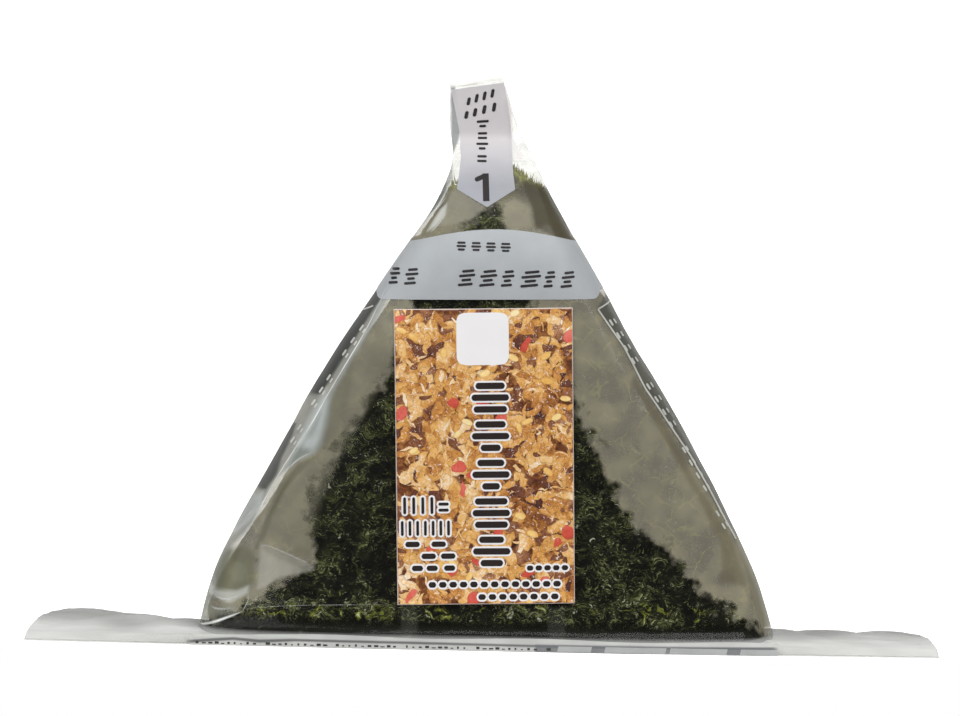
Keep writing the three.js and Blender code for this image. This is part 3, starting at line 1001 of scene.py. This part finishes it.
x = np.linspace(-FOLD_HALF_LENGTH, FOLD_HALF_LENGTH, FOLD_STEPS_LONG)
share = np.linspace(0, 1, FOLD_STEPS_UP)[:, None]
past_body = smooth_step(BODY_END_X, BODY_END_X + 1.5, np.abs(x))
ending = smooth_step(BODY_END_X, FOLD_ENDS_X, np.abs(x))
top_edge = FOLD_TOP_Z + 0.15 * np.sin(x / 5) - (FOLD_TOP_Z - 0.3) * ending
x, z = np.broadcast_arrays(x, FOLD_FOOT_Z + (top_edge - FOLD_FOOT_Z) * share)
base_fold = mesh_object("film_base_fold", fold_points(x, z), grid_faces(*x.shape), clear_film)
keep(base_fold, "contact", np.full(x.shape, -9))
keep(base_fold, "haze", FOLD_HAZE * (1 - ending) * (1 - past_body) + 0 * x)
fold_tints = paint(FOLD_TINTS, x, z, (1 - 0.88 * past_body) * (1 - ending))
keep(base_fold, "tint", fold_tints, "FLOAT_COLOR", "color")
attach(base_fold, "root")
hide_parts("film_pack")

# Creases. A sharp fold in the film catches the light in a thin white line, painted here as a
# highlight. Each line is a narrow strip just over the film, whitest in its middle and fading
# towards its ends.
CREASE_LIFT = 0.05
CREASE_STEP = 0.35
CREASE_PROFILE = np.array([0.15, 1, 0.15])  # how white across its width
CREASES = [  # path, width, how white
    (MAIN_CREASE, 0.24, 0.95),
    ([(-43.5, 1.6), (-40.4, 2.6), (-38.2, 3.6), (-36, 4.6)], 0.5, 1),
    ([(-36, 4.6), (-35, 6.4), (-35, 7.6)], 0.22, 0.65),
    ([(-36, 5), (-32.5, 5.5), (-27, 6), (-13, 6.4)], 0.14, 0.35),
    ([(-33.8, 14), (-33, 15), (-29, 13.5), (-26.5, 12.5), (-25, 11.5)], 0.16, 0.4),
    ([(-25.5, 29), (-28.5, 27.4), (-31, 24)], 0.3, 0.5),
    ([(-40.5, 6.5), (-38.5, 6), (-36.5, 7)], 0.35, 0.6),
    ([(-41.5, 5), (-40, 4.5), (-37.5, 5)], 0.4, 0.45),
    ([(-37.5, 16), (-35.5, 18.8), (-33.2, 21)], 0.2, 0.5),
    (NECK_FOLDS[0], 0.2, 0.6),
    (NECK_FOLDS[1], 0.35, 0.75),
    ([(-6.7, 64.4), (-8, 62.8), (-9, 61.8)], 0.3, 0.6),
    (NECK_FOLDS[2], 0.3, 0.5),
    ([(-6.3, 83), (-6, 76), (-5.9, 71.5), (-6.4, 69)], 0.16, 0.5),
    (NECK_FOLDS[3], 0.16, 0.5),
    ([(2.6, 80.4), (3.6, 78.4), (6, 74.2), (6.6, 72.4)], 0.5, 0.55),
]


def resample(path, step):
    """A path of x, z corners with a point every step."""
    path = np.array(path, float)
    lengths = np.concatenate([[0], np.cumsum(np.hypot(*np.diff(path, axis=0).T))])
    stations = np.linspace(0, lengths[-1], max(int(lengths[-1] / step), 3) + 1)
    return np.stack([np.interp(stations, lengths, path[:, i]) for i in (0, 1)], axis=-1)


def rounded(path, passes=3):
    """A path with its corners cut until it runs smoothly."""
    path = np.array(path, float)
    for _ in range(passes):
        quarter = path[:-1] * 0.75 + path[1:] * 0.25
        three = path[:-1] * 0.25 + path[1:] * 0.75
        cut = np.stack([quarter, three], axis=1).reshape(-1, 2)
        path = np.concatenate([path[:1], cut, path[-1:]])
    return path


def ribbon(path, widths, lift, across=3):
    """Points and faces of a thin strip on the film's front along a path."""
    path = np.asarray(path, float)
    along = np.gradient(path, axis=0)
    along /= np.linalg.norm(along, axis=1, keepdims=True)
    side = np.stack([-along[:, 1], along[:, 0]], axis=-1)
    offsets = np.linspace(0.5, -0.5, across)[None, :, None] * np.reshape(widths, (-1, 1, 1))
    flat = path[:, None, :] + side[:, None, :] * offsets
    return on_front(flat[..., 0], flat[..., 1], lift), grid_faces(len(path), across)


def joined(name, parts, *materials):
    """One object from many separate strips, each with its own list of faces."""
    points, faces = [], []
    for part_points, part_faces in parts:
        start = sum(len(p) for p in points)
        flat = np.reshape(part_points, (-1, 3))
        faces += [tuple(index + start for index in face) for face in part_faces]
        points.append(flat)
    return mesh_object(name, np.concatenate(points), faces, *materials)


whitened, tree = new_material("creased_film")
white = add_node(tree, "ShaderNodeAttribute", attribute_name="white").outputs["Fac"]
flash = add_node(tree, "ShaderNodeBsdfPrincipled", {"Base Color": srgb("#e6e8e4"), "Roughness": 0.3})
line = over_clear(tree, white, flash)
add_node(tree, "ShaderNodeOutputMaterial", {"Surface": line})

parts, whiteness = [], []
for path, width, white in CREASES:
    path = resample(rounded(path), CREASE_STEP)
    taper = np.sin(np.pi * np.linspace(0.04, 0.96, len(path))) ** 0.6
    strip = ribbon(path, width * taper, CREASE_LIFT)
    uneven = 0.8 + 0.5 * noise_at(strip[0], 3, 9)
    whiteness += list(np.ravel(white * uneven * CREASE_PROFILE * taper[:, None]))
    parts.append(strip)
creases = joined("film_creases", parts, whitened)
keep(creases, "white", np.clip(whiteness, 0, 1))
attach(creases, "root")

# Print on the film. Pale grey gravure ink: the pull strip with its arrow head and step number on
# the tab, the wide band all round the pack, and the blocks and outlines along the base and sides.
INK_LIFT = 0.07
MARK_LIFT = 0.11


def printed_field(name, left, right, steps, material, columns=24):
    """A field of ink between two edges that have a corner for each other's corners."""
    edges = np.array([left, right], float)
    corner = np.arange(len(left))
    station = np.linspace(0, corner[-1], corner[-1] * steps + 1)
    share = np.linspace(0, 1, columns)
    x, z = (
        np.interp(station, corner, edges[0, :, axis])[:, None] * (1 - share)
        + np.interp(station, corner, edges[1, :, axis])[:, None] * share
        for axis in (0, 1)
    )
    points = on_front(x, z, INK_LIFT)
    faces = [tuple(reversed(face)) for face in grid_faces(*x.shape)]
    return mesh_object(name, points, faces, material)


def round_ended(length, height, step, least):
    """Stations along a bar with round ends, and half its width at each."""
    stations = np.linspace(-length / 2, length / 2, max(int(length / step), least) + 1)
    past = np.clip(np.abs(stations) - max(length - height, 0.02) / 2, 0, height / 2)
    return stations, np.sqrt(np.maximum((height / 2) ** 2 - past**2, 0)) + 0.005


def bar(x, z, length, height, turn=0):
    """A short bar with round ends on the film, which stands for printed words."""
    stations, half = round_ended(length, height, 0.12, 8)
    path = np.array([x, z]) + stations[:, None] * [math.cos(turn), math.sin(turn)]
    return ribbon(path, 2 * half, MARK_LIFT)


def printed_line(path, width):
    """A printed line of even width along a path on the film."""
    path = resample(path, 0.3)
    return ribbon(path, np.full(len(path), width), MARK_LIFT)


def ink(name, colour, share, mottle=0.04, upper=None):
    """Gravure ink: a thin, slightly uneven layer that lets a little of the nori through, and
    looks paler up in the tab, where there is no nori behind it."""
    material, tree = new_material(name)
    in_mm = place_in_mm(tree)
    cloud = add_node(tree, "ShaderNodeTexNoise", {"Vector": in_mm, "Scale": 0.3, "Detail": 4})
    amount = add_node(
        tree,
        "ShaderNodeMapRange",
        {
            "Value": cloud,
            "From Min": 0.3,
            "From Max": 0.7,
            "To Min": share - mottle,
            "To Max": share + mottle,
        },
    )
    height = add_node(tree, "ShaderNodeSeparateXYZ", {0: in_mm}).outputs["Z"]
    up_share = add_node(tree, "ShaderNodeMapRange", {"Value": height, "From Min": 69, "From Max": 76})
    shown = add_node(
        tree,
        "ShaderNodeMix",
        {0: up_share, 6: srgb(colour), 7: srgb(upper or colour)},
        data_type="RGBA",
    )
    layer = add_node(
        tree,
        "ShaderNodeBsdfPrincipled",
        {"Base Color": shown.outputs[2], "Roughness": 0.45, "IOR": 1.3},
    )
    printed = over_clear(tree, amount, layer)
    add_node(tree, "ShaderNodeOutputMaterial", {"Surface": printed})
    return material


strip_ink = ink("pale_strip_ink", "#9c9ea4", 0.95, 0.03, "#c3bfc1")
band_ink = ink("pale_band_ink", "#a9adb0", 0.95)
dark_ink = ink("dark_mark_ink", "#2b2829", 0.95, 0.02)
line_ink = ink("pale_line_ink", "#cfcfc8", 0.75, 0.1)
block_ink = ink("grey_block_ink", "#9fa1a0", 0.85, 0.08)

STRIP_LEFT = [
    (-6.3, 84.1), (-5.6, 80.6), (-4.9, 77), (-4.6, 73), (-4.8, 70.8), (-5.1, 68.4), (-0.5, 65.8)
]
STRIP_RIGHT = [
    (1.7, 83.9), (2.4, 80.6), (2.9, 77.5), (3.2, 73.5), (3.35, 71), (3.7, 68.5), (-0.48, 65.8)
]
pull_strip = printed_field("pull_strip_print", STRIP_LEFT, STRIP_RIGHT, 10, strip_ink)

BAND_SECTION = dict(front=90, side=16, back=40)
BAND_ROWS = 26
BAND_LOW_Z, BAND_TOP_Z = 52.2, 62.6
BAND_BOW, BAND_SLOPE, BAND_SIDE_RISE = 0.0125, 0.02, 1.3
across, deep = unit_section(**BAND_SECTION)
top_x, low_x = (middle + half * across for middle, half in (edges_at(61), edges_at(52)))
band_top = BAND_TOP_Z - BAND_BOW * (top_x - 1.5) ** 2
side_rise = BAND_SIDE_RISE * smooth_step(15.5, 18, np.abs(low_x)) ** 2
band_low = BAND_LOW_Z + BAND_SLOPE * low_x + side_rise
share = np.linspace(0, 1, BAND_ROWS)[:, None]
band_points = film_points(across, deep, band_low * (1 - share) + band_top * share, INK_LIFT)
band_faces = grid_faces(BAND_ROWS, len(across), closed=True)
band = mesh_object("band_print", band_points, band_faces, band_ink)

# The step number on the strip, and bars in place of the words on the tab and on the band.
marks = [printed_line([(-0.82, 70.8), (-0.62, 66.7)], 0.95)]
marks += [bar(-1.55, 70.15, 1.9, 0.7, math.radians(25))]
UPRIGHT_WORDS = [  # x, z, height and width of each bar
    (-3.6, 81.9, 1.25, 0.5),
    (-2.4, 82.2, 1.35, 0.5),
    (-1.2, 82.4, 1.35, 0.5),
    (0, 82.6, 1.3, 0.5),
    (-3.9, 79.8, 1.3, 0.55),
    (-2.6, 80.1, 1.35, 0.55),
    (-1.2, 80.4, 1.35, 0.55),
    (0.3, 80.6, 1.35, 0.55),
]
marks += [bar(x, z, height, width, math.radians(80)) for x, z, height, width in UPRIGHT_WORDS]
for z, length in [(78.3, 1.9), (76.5, 1.5), (74.9, 1.9), (73, 1.5)]:
    marks += [bar(-1.4, z + 0.35, length, 0.36), bar(-1.4, z - 0.35, 3 - length, 0.36)]
for x in (-4.2, -2, 0.2, 2.4):
    for rise, length in [(0.5, 1.3), (0, 1.5), (-0.5, 1.1)]:
        marks += [bar(x, 60 + rise - 0.01 * x, length + 0.1 * math.sin(3 * x), 0.32)]
BAND_WORDS = [  # x and length of each group of bars
    (-14, 1.6),
    (-11.5, 2),
    (-3.3, 2.5),
    (-0.1, 2.6),
    (2.8, 1.9),
    (6.2, 3),
    (9, 1.6),
    (11.7, 2),
]
for x, length in BAND_WORDS:
    for rise, part in [(1, 0.75), (0.33, 1), (-0.33, 0.6), (-1, 0.9)]:
        marks += [bar(x + 0.2 * rise, 55.4 + rise, length * part, 0.38, math.radians(6))]
dark_marks = joined("dark_print_marks", marks, dark_ink)

# Outlines of the printed strips, and two rows of bars for the small print on each margin.
SIDE_OUTLINE = [
    (18.6, 52.3), (16.3, 51), (20.3, 45.4), (23.7, 39.3), (27, 34.5), (30.8, 29.2), (34.4, 22.8),
    (38.1, 16.5),
]
lines = [printed_line(SIDE_OUTLINE, 0.24), printed_line([(-19.6, 49.6), (-17.2, 50.8)], 0.2)]
EDGE_SLOPE = math.radians(-57)
MARGIN_TOP_Z, MARGIN_STEP, MARGIN_ROWS, LEFT_MARGIN_ROWS = 49, 1.9, 17, 10
for i in range(MARGIN_ROWS):
    z = MARGIN_TOP_Z - MARGIN_STEP * i
    middle, half = edges_at(z)
    if i % 5 != 4:
        lines.append(bar(middle + half - 1.7, z, 1.1, 0.28, EDGE_SLOPE))
        lines.append(bar(middle + half - 1.15, z + 0.2, 0.9, 0.2, EDGE_SLOPE))
    if i % 4 != 3 and i < LEFT_MARGIN_ROWS:
        lines.append(bar(middle - half + 0.75, z - 1.5, 1.1, 0.26, -EDGE_SLOPE))
        lines.append(bar(middle - half + 1.15, z - 1.9, 0.8, 0.2, -EDGE_SLOPE))
pale_marks = joined("pale_print_marks", lines, line_ink)

# Grey blocks and small dark marks in a row along the base fold.
FOLD_INK_LIFT = 0.04


def on_fold(left, length, low, height, columns, rows, slant=0):
    """Points and faces of a small field of ink on the base fold."""
    z = low + height * np.linspace(0, 1, rows)[:, None]
    x = left + length * np.linspace(0, 1, columns) + slant * z
    return fold_points(x, z, FOLD_INK_LIFT), grid_faces(rows, columns)


BLOCK_ENDS = [(11.2, 16.2), (18.2, 27.3), (27.9, 36.4), (38.4, 44)]
blocks = [on_fold(left, right - left, 0.12, 0.8, 30, 8, 0.25) for left, right in BLOCK_ENDS]
block_marks = joined("base_fold_blocks", blocks, block_ink)

FOLD_MARKS, FOLD_MARK_LEFT, FOLD_MARK_STEP = 56, -42.6, 0.95
small = []
for i in range(FOLD_MARKS):
    if i % 11 != 10:
        length = 0.45 + 0.2 * math.sin(7 * i)
        height = 0.24 + 0.1 * math.cos(4 * i)
        small.append(on_fold(FOLD_MARK_LEFT + FOLD_MARK_STEP * i, length, 0.3, height, 6, 3))
small_marks = joined("base_fold_print", small, dark_ink)

for piece in (pull_strip, band, dark_marks, pale_marks, block_marks, small_marks):
    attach(piece, "root")

# Label. Coated paper stuck on the front, printed with a close view of chopped leaf pickle with
# sesame and chilli, a white plate and bars in place of words. Its cut edge shows white.
LABEL_WIDTH, LABEL_HEIGHT = 26.5, 44.2
LABEL_CENTRE = (-0.1, 28.8)
LABEL_TURN = math.radians(1.7)
LABEL_GAP, LABEL_THICKNESS = 0.14, 0.16
LABEL_STEPS = (54, 88)


def on_label(right, up, lift):
    """Points on the label, from its middle, with a distance in front of the film."""
    x = LABEL_CENTRE[0] + right * math.cos(LABEL_TURN) - up * math.sin(LABEL_TURN)
    z = LABEL_CENTRE[1] + right * math.sin(LABEL_TURN) + up * math.cos(LABEL_TURN)
    return on_front(x, z, lift)


# The ground of the picture: dark sauce between the leaves, and a bare edge where it was cut.
printed_paper, tree = new_material("printed_label_paper")
in_mm = place_in_mm(tree)
grain = add_node(
    tree,
    "ShaderNodeTexNoise",
    {"Vector": in_mm, "Scale": 0.8, "Detail": 6, "Roughness": 0.7, "Distortion": 0.6},
)
sauce = add_node(tree, "ShaderNodeValToRGB", {0: grain})
stops = sauce.color_ramp.elements
stops[0].position, stops[0].color = 0.34, srgb("#2e140e")
stops[1].position, stops[1].color = 0.68, srgb("#c08a4e")
stops.new(0.5).color = srgb("#7a4626")
border = add_node(tree, "ShaderNodeAttribute", attribute_name="from_edge").outputs["Fac"]
bare = add_node(
    tree, "ShaderNodeMapRange", {"Value": border, "From Min": 0.2, "From Max": 0.1, "To Max": 0.8}
)
ground = add_node(tree, "ShaderNodeMix", {0: bare, 6: sauce, 7: srgb("#dccfc8")}, data_type="RGBA")
coat = add_node(
    tree, "ShaderNodeBsdfPrincipled", {"Base Color": ground.outputs[2], "Roughness": 0.5, "IOR": 1.3}
)
add_node(tree, "ShaderNodeOutputMaterial", {"Surface": coat})


def scrap_print(name, colours, rim_colour, rim_start, wet):
    """The print of one kind of scrap: its colours by chance, a darker rim and wet glints."""
    material, tree = new_material(name)
    in_mm = place_in_mm(tree)
    chance = add_node(tree, "ShaderNodeAttribute", attribute_name="chance").outputs["Fac"]
    grain = add_node(
        tree,
        "ShaderNodeTexNoise",
        {"Vector": in_mm, "Scale": 1.7, "Detail": 6, "Roughness": 0.78, "Distortion": 1.2},
    )
    heap = add_node(tree, "ShaderNodeTexNoise", {"Vector": in_mm, "Scale": 0.2, "Detail": 2})
    by_heap = add_node(tree, "ShaderNodeMath", {0: heap, 1: 3, 2: chance}, operation="MULTIPLY_ADD")
    varied = add_node(tree, "ShaderNodeMath", {0: grain, 1: 3, 2: by_heap}, operation="MULTIPLY_ADD")
    share = add_node(tree, "ShaderNodeMapRange", {"Value": varied, "From Min": 2.3, "From Max": 4.7})
    tone = add_node(tree, "ShaderNodeValToRGB", {0: share})
    stops = tone.color_ramp.elements
    stops[0].color, stops[-1].color = srgb(colours[0]), srgb(colours[-1])
    for i, colour in enumerate(colours[1:-1]):
        stops.new((i + 1) / (len(colours) - 1)).color = srgb(colour)
    rim_at = add_node(tree, "ShaderNodeAttribute", attribute_name="rim").outputs["Fac"]
    rim_share = add_node(
        tree,
        "ShaderNodeMapRange",
        {"Value": rim_at, "From Min": rim_start, "From Max": 1.05, "To Max": 0.6},
    )
    rimmed = add_node(
        tree, "ShaderNodeMix", {0: rim_share, 6: tone, 7: srgb(rim_colour)}, data_type="RGBA"
    )
    drops = add_node(
        tree, "ShaderNodeTexNoise", {"Vector": in_mm, "Scale": 2.4, "Detail": 5, "Distortion": 1.2}
    )
    wet_share = add_node(
        tree,
        "ShaderNodeMapRange",
        {"Value": drops, "From Min": 0.73 - wet, "From Max": 0.8 - wet, "To Max": 0.9},
    )
    glossy = add_node(
        tree,
        "ShaderNodeMix",
        {0: wet_share, 6: rimmed.outputs[2], 7: srgb("#f5e9e2")},
        data_type="RGBA",
    )
    coat = add_node(
        tree,
        "ShaderNodeBsdfPrincipled",
        {"Base Color": glossy.outputs[2], "Roughness": 0.5, "IOR": 1.3},
    )
    add_node(tree, "ShaderNodeOutputMaterial", {"Surface": coat})
    return material


cut_paper, tree = new_material("white_label_paper")
pulp = add_node(tree, "ShaderNodeTexNoise", {"Vector": place_in_mm(tree), "Scale": 2.5})
pulp_colour = add_node(
    tree, "ShaderNodeMix", {0: pulp, 6: srgb("#dcd8cf"), 7: srgb("#efece6")}, data_type="RGBA"
)
paper_shade = add_node(
    tree, "ShaderNodeBsdfPrincipled", {"Base Color": pulp_colour.outputs[2], "Roughness": 0.7}
)
add_node(tree, "ShaderNodeOutputMaterial", {"Surface": paper_shade})

right = np.linspace(-0.5, 0.5, LABEL_STEPS[0])[None, :] * LABEL_WIDTH
up = np.linspace(-0.5, 0.5, LABEL_STEPS[1])[:, None] * LABEL_HEIGHT
right, up = np.broadcast_arrays(right, up)
label_front = LABEL_GAP + LABEL_THICKNESS
layers = [on_label(right, up, label_front), on_label(right, up, LABEL_GAP)]
front_faces = grid_faces(*up.shape)
faces = front_faces + [tuple(reversed(face)) for face in grid_faces(*up.shape, first=up.size)]
faces += rim_faces(*up.shape)
label = mesh_object("label_sheet", layers, faces, printed_paper, cut_paper)
for face in label.data.polygons[len(front_faces) :]:
    face.material_index = 1
from_edge = np.minimum(LABEL_WIDTH / 2 - np.abs(right), LABEL_HEIGHT / 2 - np.abs(up))
keep(label, "from_edge", [from_edge, from_edge])
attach(label, "root")
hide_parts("label")

# Picture. Scraps of chopped leaf, pale shreds, chilli and sesame lie over one another at random.
# Each kind of scrap is a ragged oval, scattered over the label on a level of its own.
scatter, given = new_group(
    "scattered_scraps",
    "Scraps",
    Field="Geometry",
    Density="Float",
    Seed="Int",
    Length="Float",
    Width="Float",
    Least="Float",
    Ragged="Float",
    Print="Material",
)
spots = add_node(
    scatter,
    "GeometryNodeDistributePointsOnFaces",
    {"Mesh": given["Field"], "Density": given["Density"], "Seed": given["Seed"]},
)
blank = add_node(
    scatter,
    "GeometryNodeMeshGrid",
    {"Size X": given["Length"], "Size Y": given["Width"], "Vertices X": 9, "Vertices Y": 5},
)
at = add_node(scatter, "GeometryNodeInputPosition")
size = add_node(scatter, "ShaderNodeCombineXYZ", {0: given["Length"], 1: given["Width"], 2: 1.0})
share = add_node(scatter, "ShaderNodeVectorMath", {0: at, 1: size}, operation="DIVIDE")
sides = add_node(scatter, "ShaderNodeSeparateXYZ", {0: share})
squared = add_node(scatter, "ShaderNodeMath", {0: sides, 1: sides}, operation="MULTIPLY")
across_rim = add_node(scatter, "ShaderNodeMath", {0: sides.outputs[1]}, operation="ABSOLUTE")
rim_a = add_node(scatter, "ShaderNodeMath", {0: squared, 1: 4.0}, operation="MULTIPLY")
rim_b = add_node(scatter, "ShaderNodeMath", {0: across_rim, 1: 2.0}, operation="MULTIPLY")
rim_value = add_node(scatter, "ShaderNodeMath", {0: rim_a, 1: rim_b}, operation="MAXIMUM")
rimmed = add_node(
    scatter,
    "GeometryNodeStoreNamedAttribute",
    {"Geometry": blank, "Name": "rim", "Value": rim_value},
    data_type="FLOAT",
    domain="POINT",
)
narrow = add_node(scatter, "ShaderNodeMath", {0: 1.02, 1: rim_a}, operation="SUBTRACT")
narrowed = add_node(scatter, "ShaderNodeMath", {0: narrow, 1: 0.5}, operation="POWER")
flat = add_node(scatter, "ShaderNodeCombineXYZ", {0: 1.0, 1: narrowed, 2: 1.0})
oval_at = add_node(scatter, "ShaderNodeVectorMath", {0: at, 1: flat}, operation="MULTIPLY")
oval = add_node(scatter, "GeometryNodeSetPosition", {"Geometry": rimmed, "Position": oval_at})
turn_seed = add_node(scatter, "ShaderNodeMath", {0: given["Seed"], 1: 100.0}, operation="ADD")
chance_seed = add_node(scatter, "ShaderNodeMath", {0: given["Seed"], 1: 200.0}, operation="ADD")
turn = add_node(
    scatter,
    "FunctionNodeRandomValue",
    {"Min": 0.0, "Max": math.tau, "Seed": turn_seed},
    data_type="FLOAT",
)
turned = add_node(scatter, "ShaderNodeCombineXYZ", {2: turn.outputs[1]})
least = add_node(scatter, "ShaderNodeCombineXYZ", {0: given["Least"], 1: given["Least"], 2: 1.0})
scale = add_node(
    scatter,
    "FunctionNodeRandomValue",
    {"Min": least, "Max": (1.0, 1.0, 1.0), "Seed": given["Seed"]},
    data_type="FLOAT_VECTOR",
)
laid = add_node(
    scatter,
    "GeometryNodeInstanceOnPoints",
    {"Points": spots, "Instance": oval, "Rotation": turned, "Scale": scale},
)
chance = add_node(
    scatter, "FunctionNodeRandomValue", {"Min": 0.0, "Max": 1.0, "Seed": chance_seed}, data_type="FLOAT"
)
marked = add_node(
    scatter,
    "GeometryNodeStoreNamedAttribute",
    {"Geometry": laid, "Name": "chance", "Value": chance.outputs[1]},
    data_type="FLOAT",
    domain="INSTANCE",
)
real = add_node(scatter, "GeometryNodeRealizeInstances", {"Geometry": marked})
tear = add_node(scatter, "ShaderNodeTexNoise", {"Vector": at, "Scale": 700.0, "Detail": 3.0})
tear_middle = add_node(
    scatter,
    "ShaderNodeVectorMath",
    {0: tear.outputs["Color"], 1: (0.5, 0.5, 0.5)},
    operation="SUBTRACT",
)
tear_size = add_node(scatter, "ShaderNodeCombineXYZ", {0: given["Ragged"], 1: given["Ragged"]})
torn_by = add_node(
    scatter, "ShaderNodeVectorMath", {0: tear_middle, 1: tear_size}, operation="MULTIPLY"
)
torn = add_node(scatter, "GeometryNodeSetPosition", {"Geometry": real, "Offset": torn_by})
printed = add_node(scatter, "GeometryNodeSetMaterial", {"Geometry": torn, "Material": given["Print"]})
add_node(scatter, "NodeGroupOutput", {0: printed})

leaf_print = scrap_print(
    "leaf_print",
    ["#67371d", "#99602f", "#c48542", "#dfa95c", "#ebc389", "#f6e4cd"],
    "#7a4423",
    0.72,
    0.12,
)
pale_print = scrap_print(
    "pale_shred_print", ["#a86a36", "#cf9450", "#e3b473", "#efd2a6", "#f8eee1"], "#935a2f", 0.8, 0.16
)
dark_print = scrap_print(
    "dark_leaf_print", ["#3a2117", "#57322a", "#7a4a33", "#9c6845", "#b78862"], "#40221a", 0.6, 0.12
)
seed_print = scrap_print(
    "seed_print", ["#dc9f48", "#eabc6c", "#f3d590", "#f6e6ba"], "#b0742f", 0.62, 0.0
)
chilli_print = scrap_print(
    "chilli_print", ["#a8402e", "#c9503f", "#d86557", "#e28474"], "#9c3a26", 0.78, 0.03
)
SCRAPS = [  # print, number, length, width, least scale and raggedness in mm
    (dark_print, 130, 5.6, 3.2, 0.5, 2.6),
    (leaf_print, 400, 4.8, 1.9, 0.45, 2.8),
    (pale_print, 250, 3, 0.6, 0.35, 1.9),
    (dark_print, 120, 2.3, 1.2, 0.4, 2),
    (leaf_print, 170, 3.8, 1.3, 0.45, 2.4),
    (chilli_print, 22, 2.7, 2.1, 0.4, 1.6),
    (seed_print, 32, 1.9, 1.1, 0.75, 0.2),
]
SCRAP_LIFT, SCRAP_STEP, SCRAP_SPREAD = 0.006, 0.003, 0.0025
BARE_EDGE = 0.12
reach = np.array([LABEL_WIDTH, LABEL_HEIGHT]) / 2
corners = [(reach[0] * x, reach[1] * y, 0) for x, y in [(-1, -1), (1, -1), (1, 1), (-1, 1)]]
for number, (material, count, length, width, least_scale, ragged) in enumerate(SCRAPS, 1):
    made = from_nodes(
        corners,
        [(0, 1, 2, 3)],
        scatter,
        Density=count / (LABEL_WIDTH * LABEL_HEIGHT * MM**2),
        Seed=number,
        Length=length * MM,
        Width=width * MM,
        Least=least_scale,
        Ragged=ragged * MM,
        Print=material,
    )
    flat, chance_at = np.empty(len(made.vertices) * 3), np.empty(len(made.vertices))
    made.vertices.foreach_get("co", flat)
    made.attributes["chance"].data.foreach_get("value", chance_at)
    inside = np.clip(flat.reshape(-1, 3)[:, :2] / MM, BARE_EDGE - reach, reach - BARE_EDGE)
    lift = label_front + SCRAP_LIFT + SCRAP_STEP * number + SCRAP_SPREAD * chance_at
    on_paper = on_label(inside[:, 0], inside[:, 1], lift) * MM
    made.vertices.foreach_set("co", on_paper.ravel())
    made.shade_smooth()
    scraps = new_object(f"label_scraps_{number}", made)
    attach(scraps, "root")

# White plate and words of the label. Both are printed flat on it, and rounded bars with white
# borders stand for the words.
PLATE_SIDE, PLATE_SQUARENESS = 7.8, 7
PLATE_PLACE = (-0.15, 17.6)
white_print = ink("white_label_ink", "#efedee", 0.98, 0.01)
PLATE_STEPS, PLATE_RINGS, PLATE_LIFT = 96, 14, 0.03
turns = np.linspace(0, 2 * math.pi, PLATE_STEPS, endpoint=False)
plate_x, plate_z = (
    PLATE_SIDE / 2 * np.sign(wave) * np.abs(wave) ** (2 / PLATE_SQUARENESS)
    for wave in (np.cos(turns), np.sin(turns))
)
shares = np.linspace(1, 0.04, PLATE_RINGS)[:, None]
plate_right, plate_up = PLATE_PLACE[0] + plate_x * shares, PLATE_PLACE[1] + plate_z * shares
plate_faces = grid_faces(PLATE_RINGS, PLATE_STEPS, closed=True)
plate_faces.append(tuple((PLATE_RINGS - 1) * PLATE_STEPS + i for i in range(PLATE_STEPS)))
plate_points = on_label(plate_right, plate_up, label_front + PLATE_LIFT)
plate = mesh_object("label_white_plate", plate_points, plate_faces, white_print)


def label_bar(right, up, length, height, lift, vertical=False):
    """A bar with round ends on the label."""
    stations, half = round_ended(length, height, 0.15, 9)
    offset = np.array([1, 0, -1])[None, :] * half[:, None]
    run = stations[:, None] + 0 * offset
    if vertical:
        return on_label(right - offset, up + run, lift), grid_faces(len(stations), 3)
    return on_label(right + run, up + offset, lift), grid_faces(len(stations), 3)


words = []  # right, up, length, height of each bar, and whether it stands upright
for cell in range(5):
    up_at = 10.6 - 5.75 * cell
    lengths = [4.4 + 1.2 * math.sin(3 * cell), 5.6, 3.6 + 1.4 * math.cos(2 * cell)]
    words += [(0.9, up_at - 1.75 * i, length, 0.95, False) for i, length in enumerate(lengths)]
words += [(-12 + 1.35 * i, -7.2, 2.6, 0.42, True) for i in range(4)]
words += [(-6.2, -7.9, 1.6, 0.45, False), (-6.2, -7, 1.6, 0.45, False)]
words += [(-12.4 + 1.15 * i, -10.6, 2.3, 0.4, True) for i in range(7)]
for up_at, starts in [(-13, (-10.9, -7)), (-14.8, (-8.5, -5.6)), (-16.6, (-10.2, -8, -5.4))]:
    words += [(start, up_at, 2.2 if len(starts) < 3 else 1.7, 0.8, False) for start in starts]
words += [(6.6 + 1.3 * i, -16.7, 1, 0.75, False) for i in range(5)]
words += [(-8 + 1.55 * i, -19.1, 1.15, 0.85, False) for i in range(13)]
words += [(-0.6 + 1.55 * i, -21, 1.15, 0.85, False) for i in range(8)]
BORDER, BORDER_LIFT, WORD_LIFT = 0.55, 0.04, 0.07
outlines, bars = (
    [
        label_bar(right, up, length + wider, height + wider, label_front + lift, upright)
        for right, up, length, height, upright in words
    ]
    for wider, lift in [(BORDER, BORDER_LIFT), (0, WORD_LIFT)]
)
word_borders = joined("label_word_borders", outlines, white_print)
word_bars = joined("label_word_bars", bars, ink("dark_label_ink", "#2a2321", 0.96, 0.02))
for piece in (plate, word_borders, word_bars):
    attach(piece, "root")
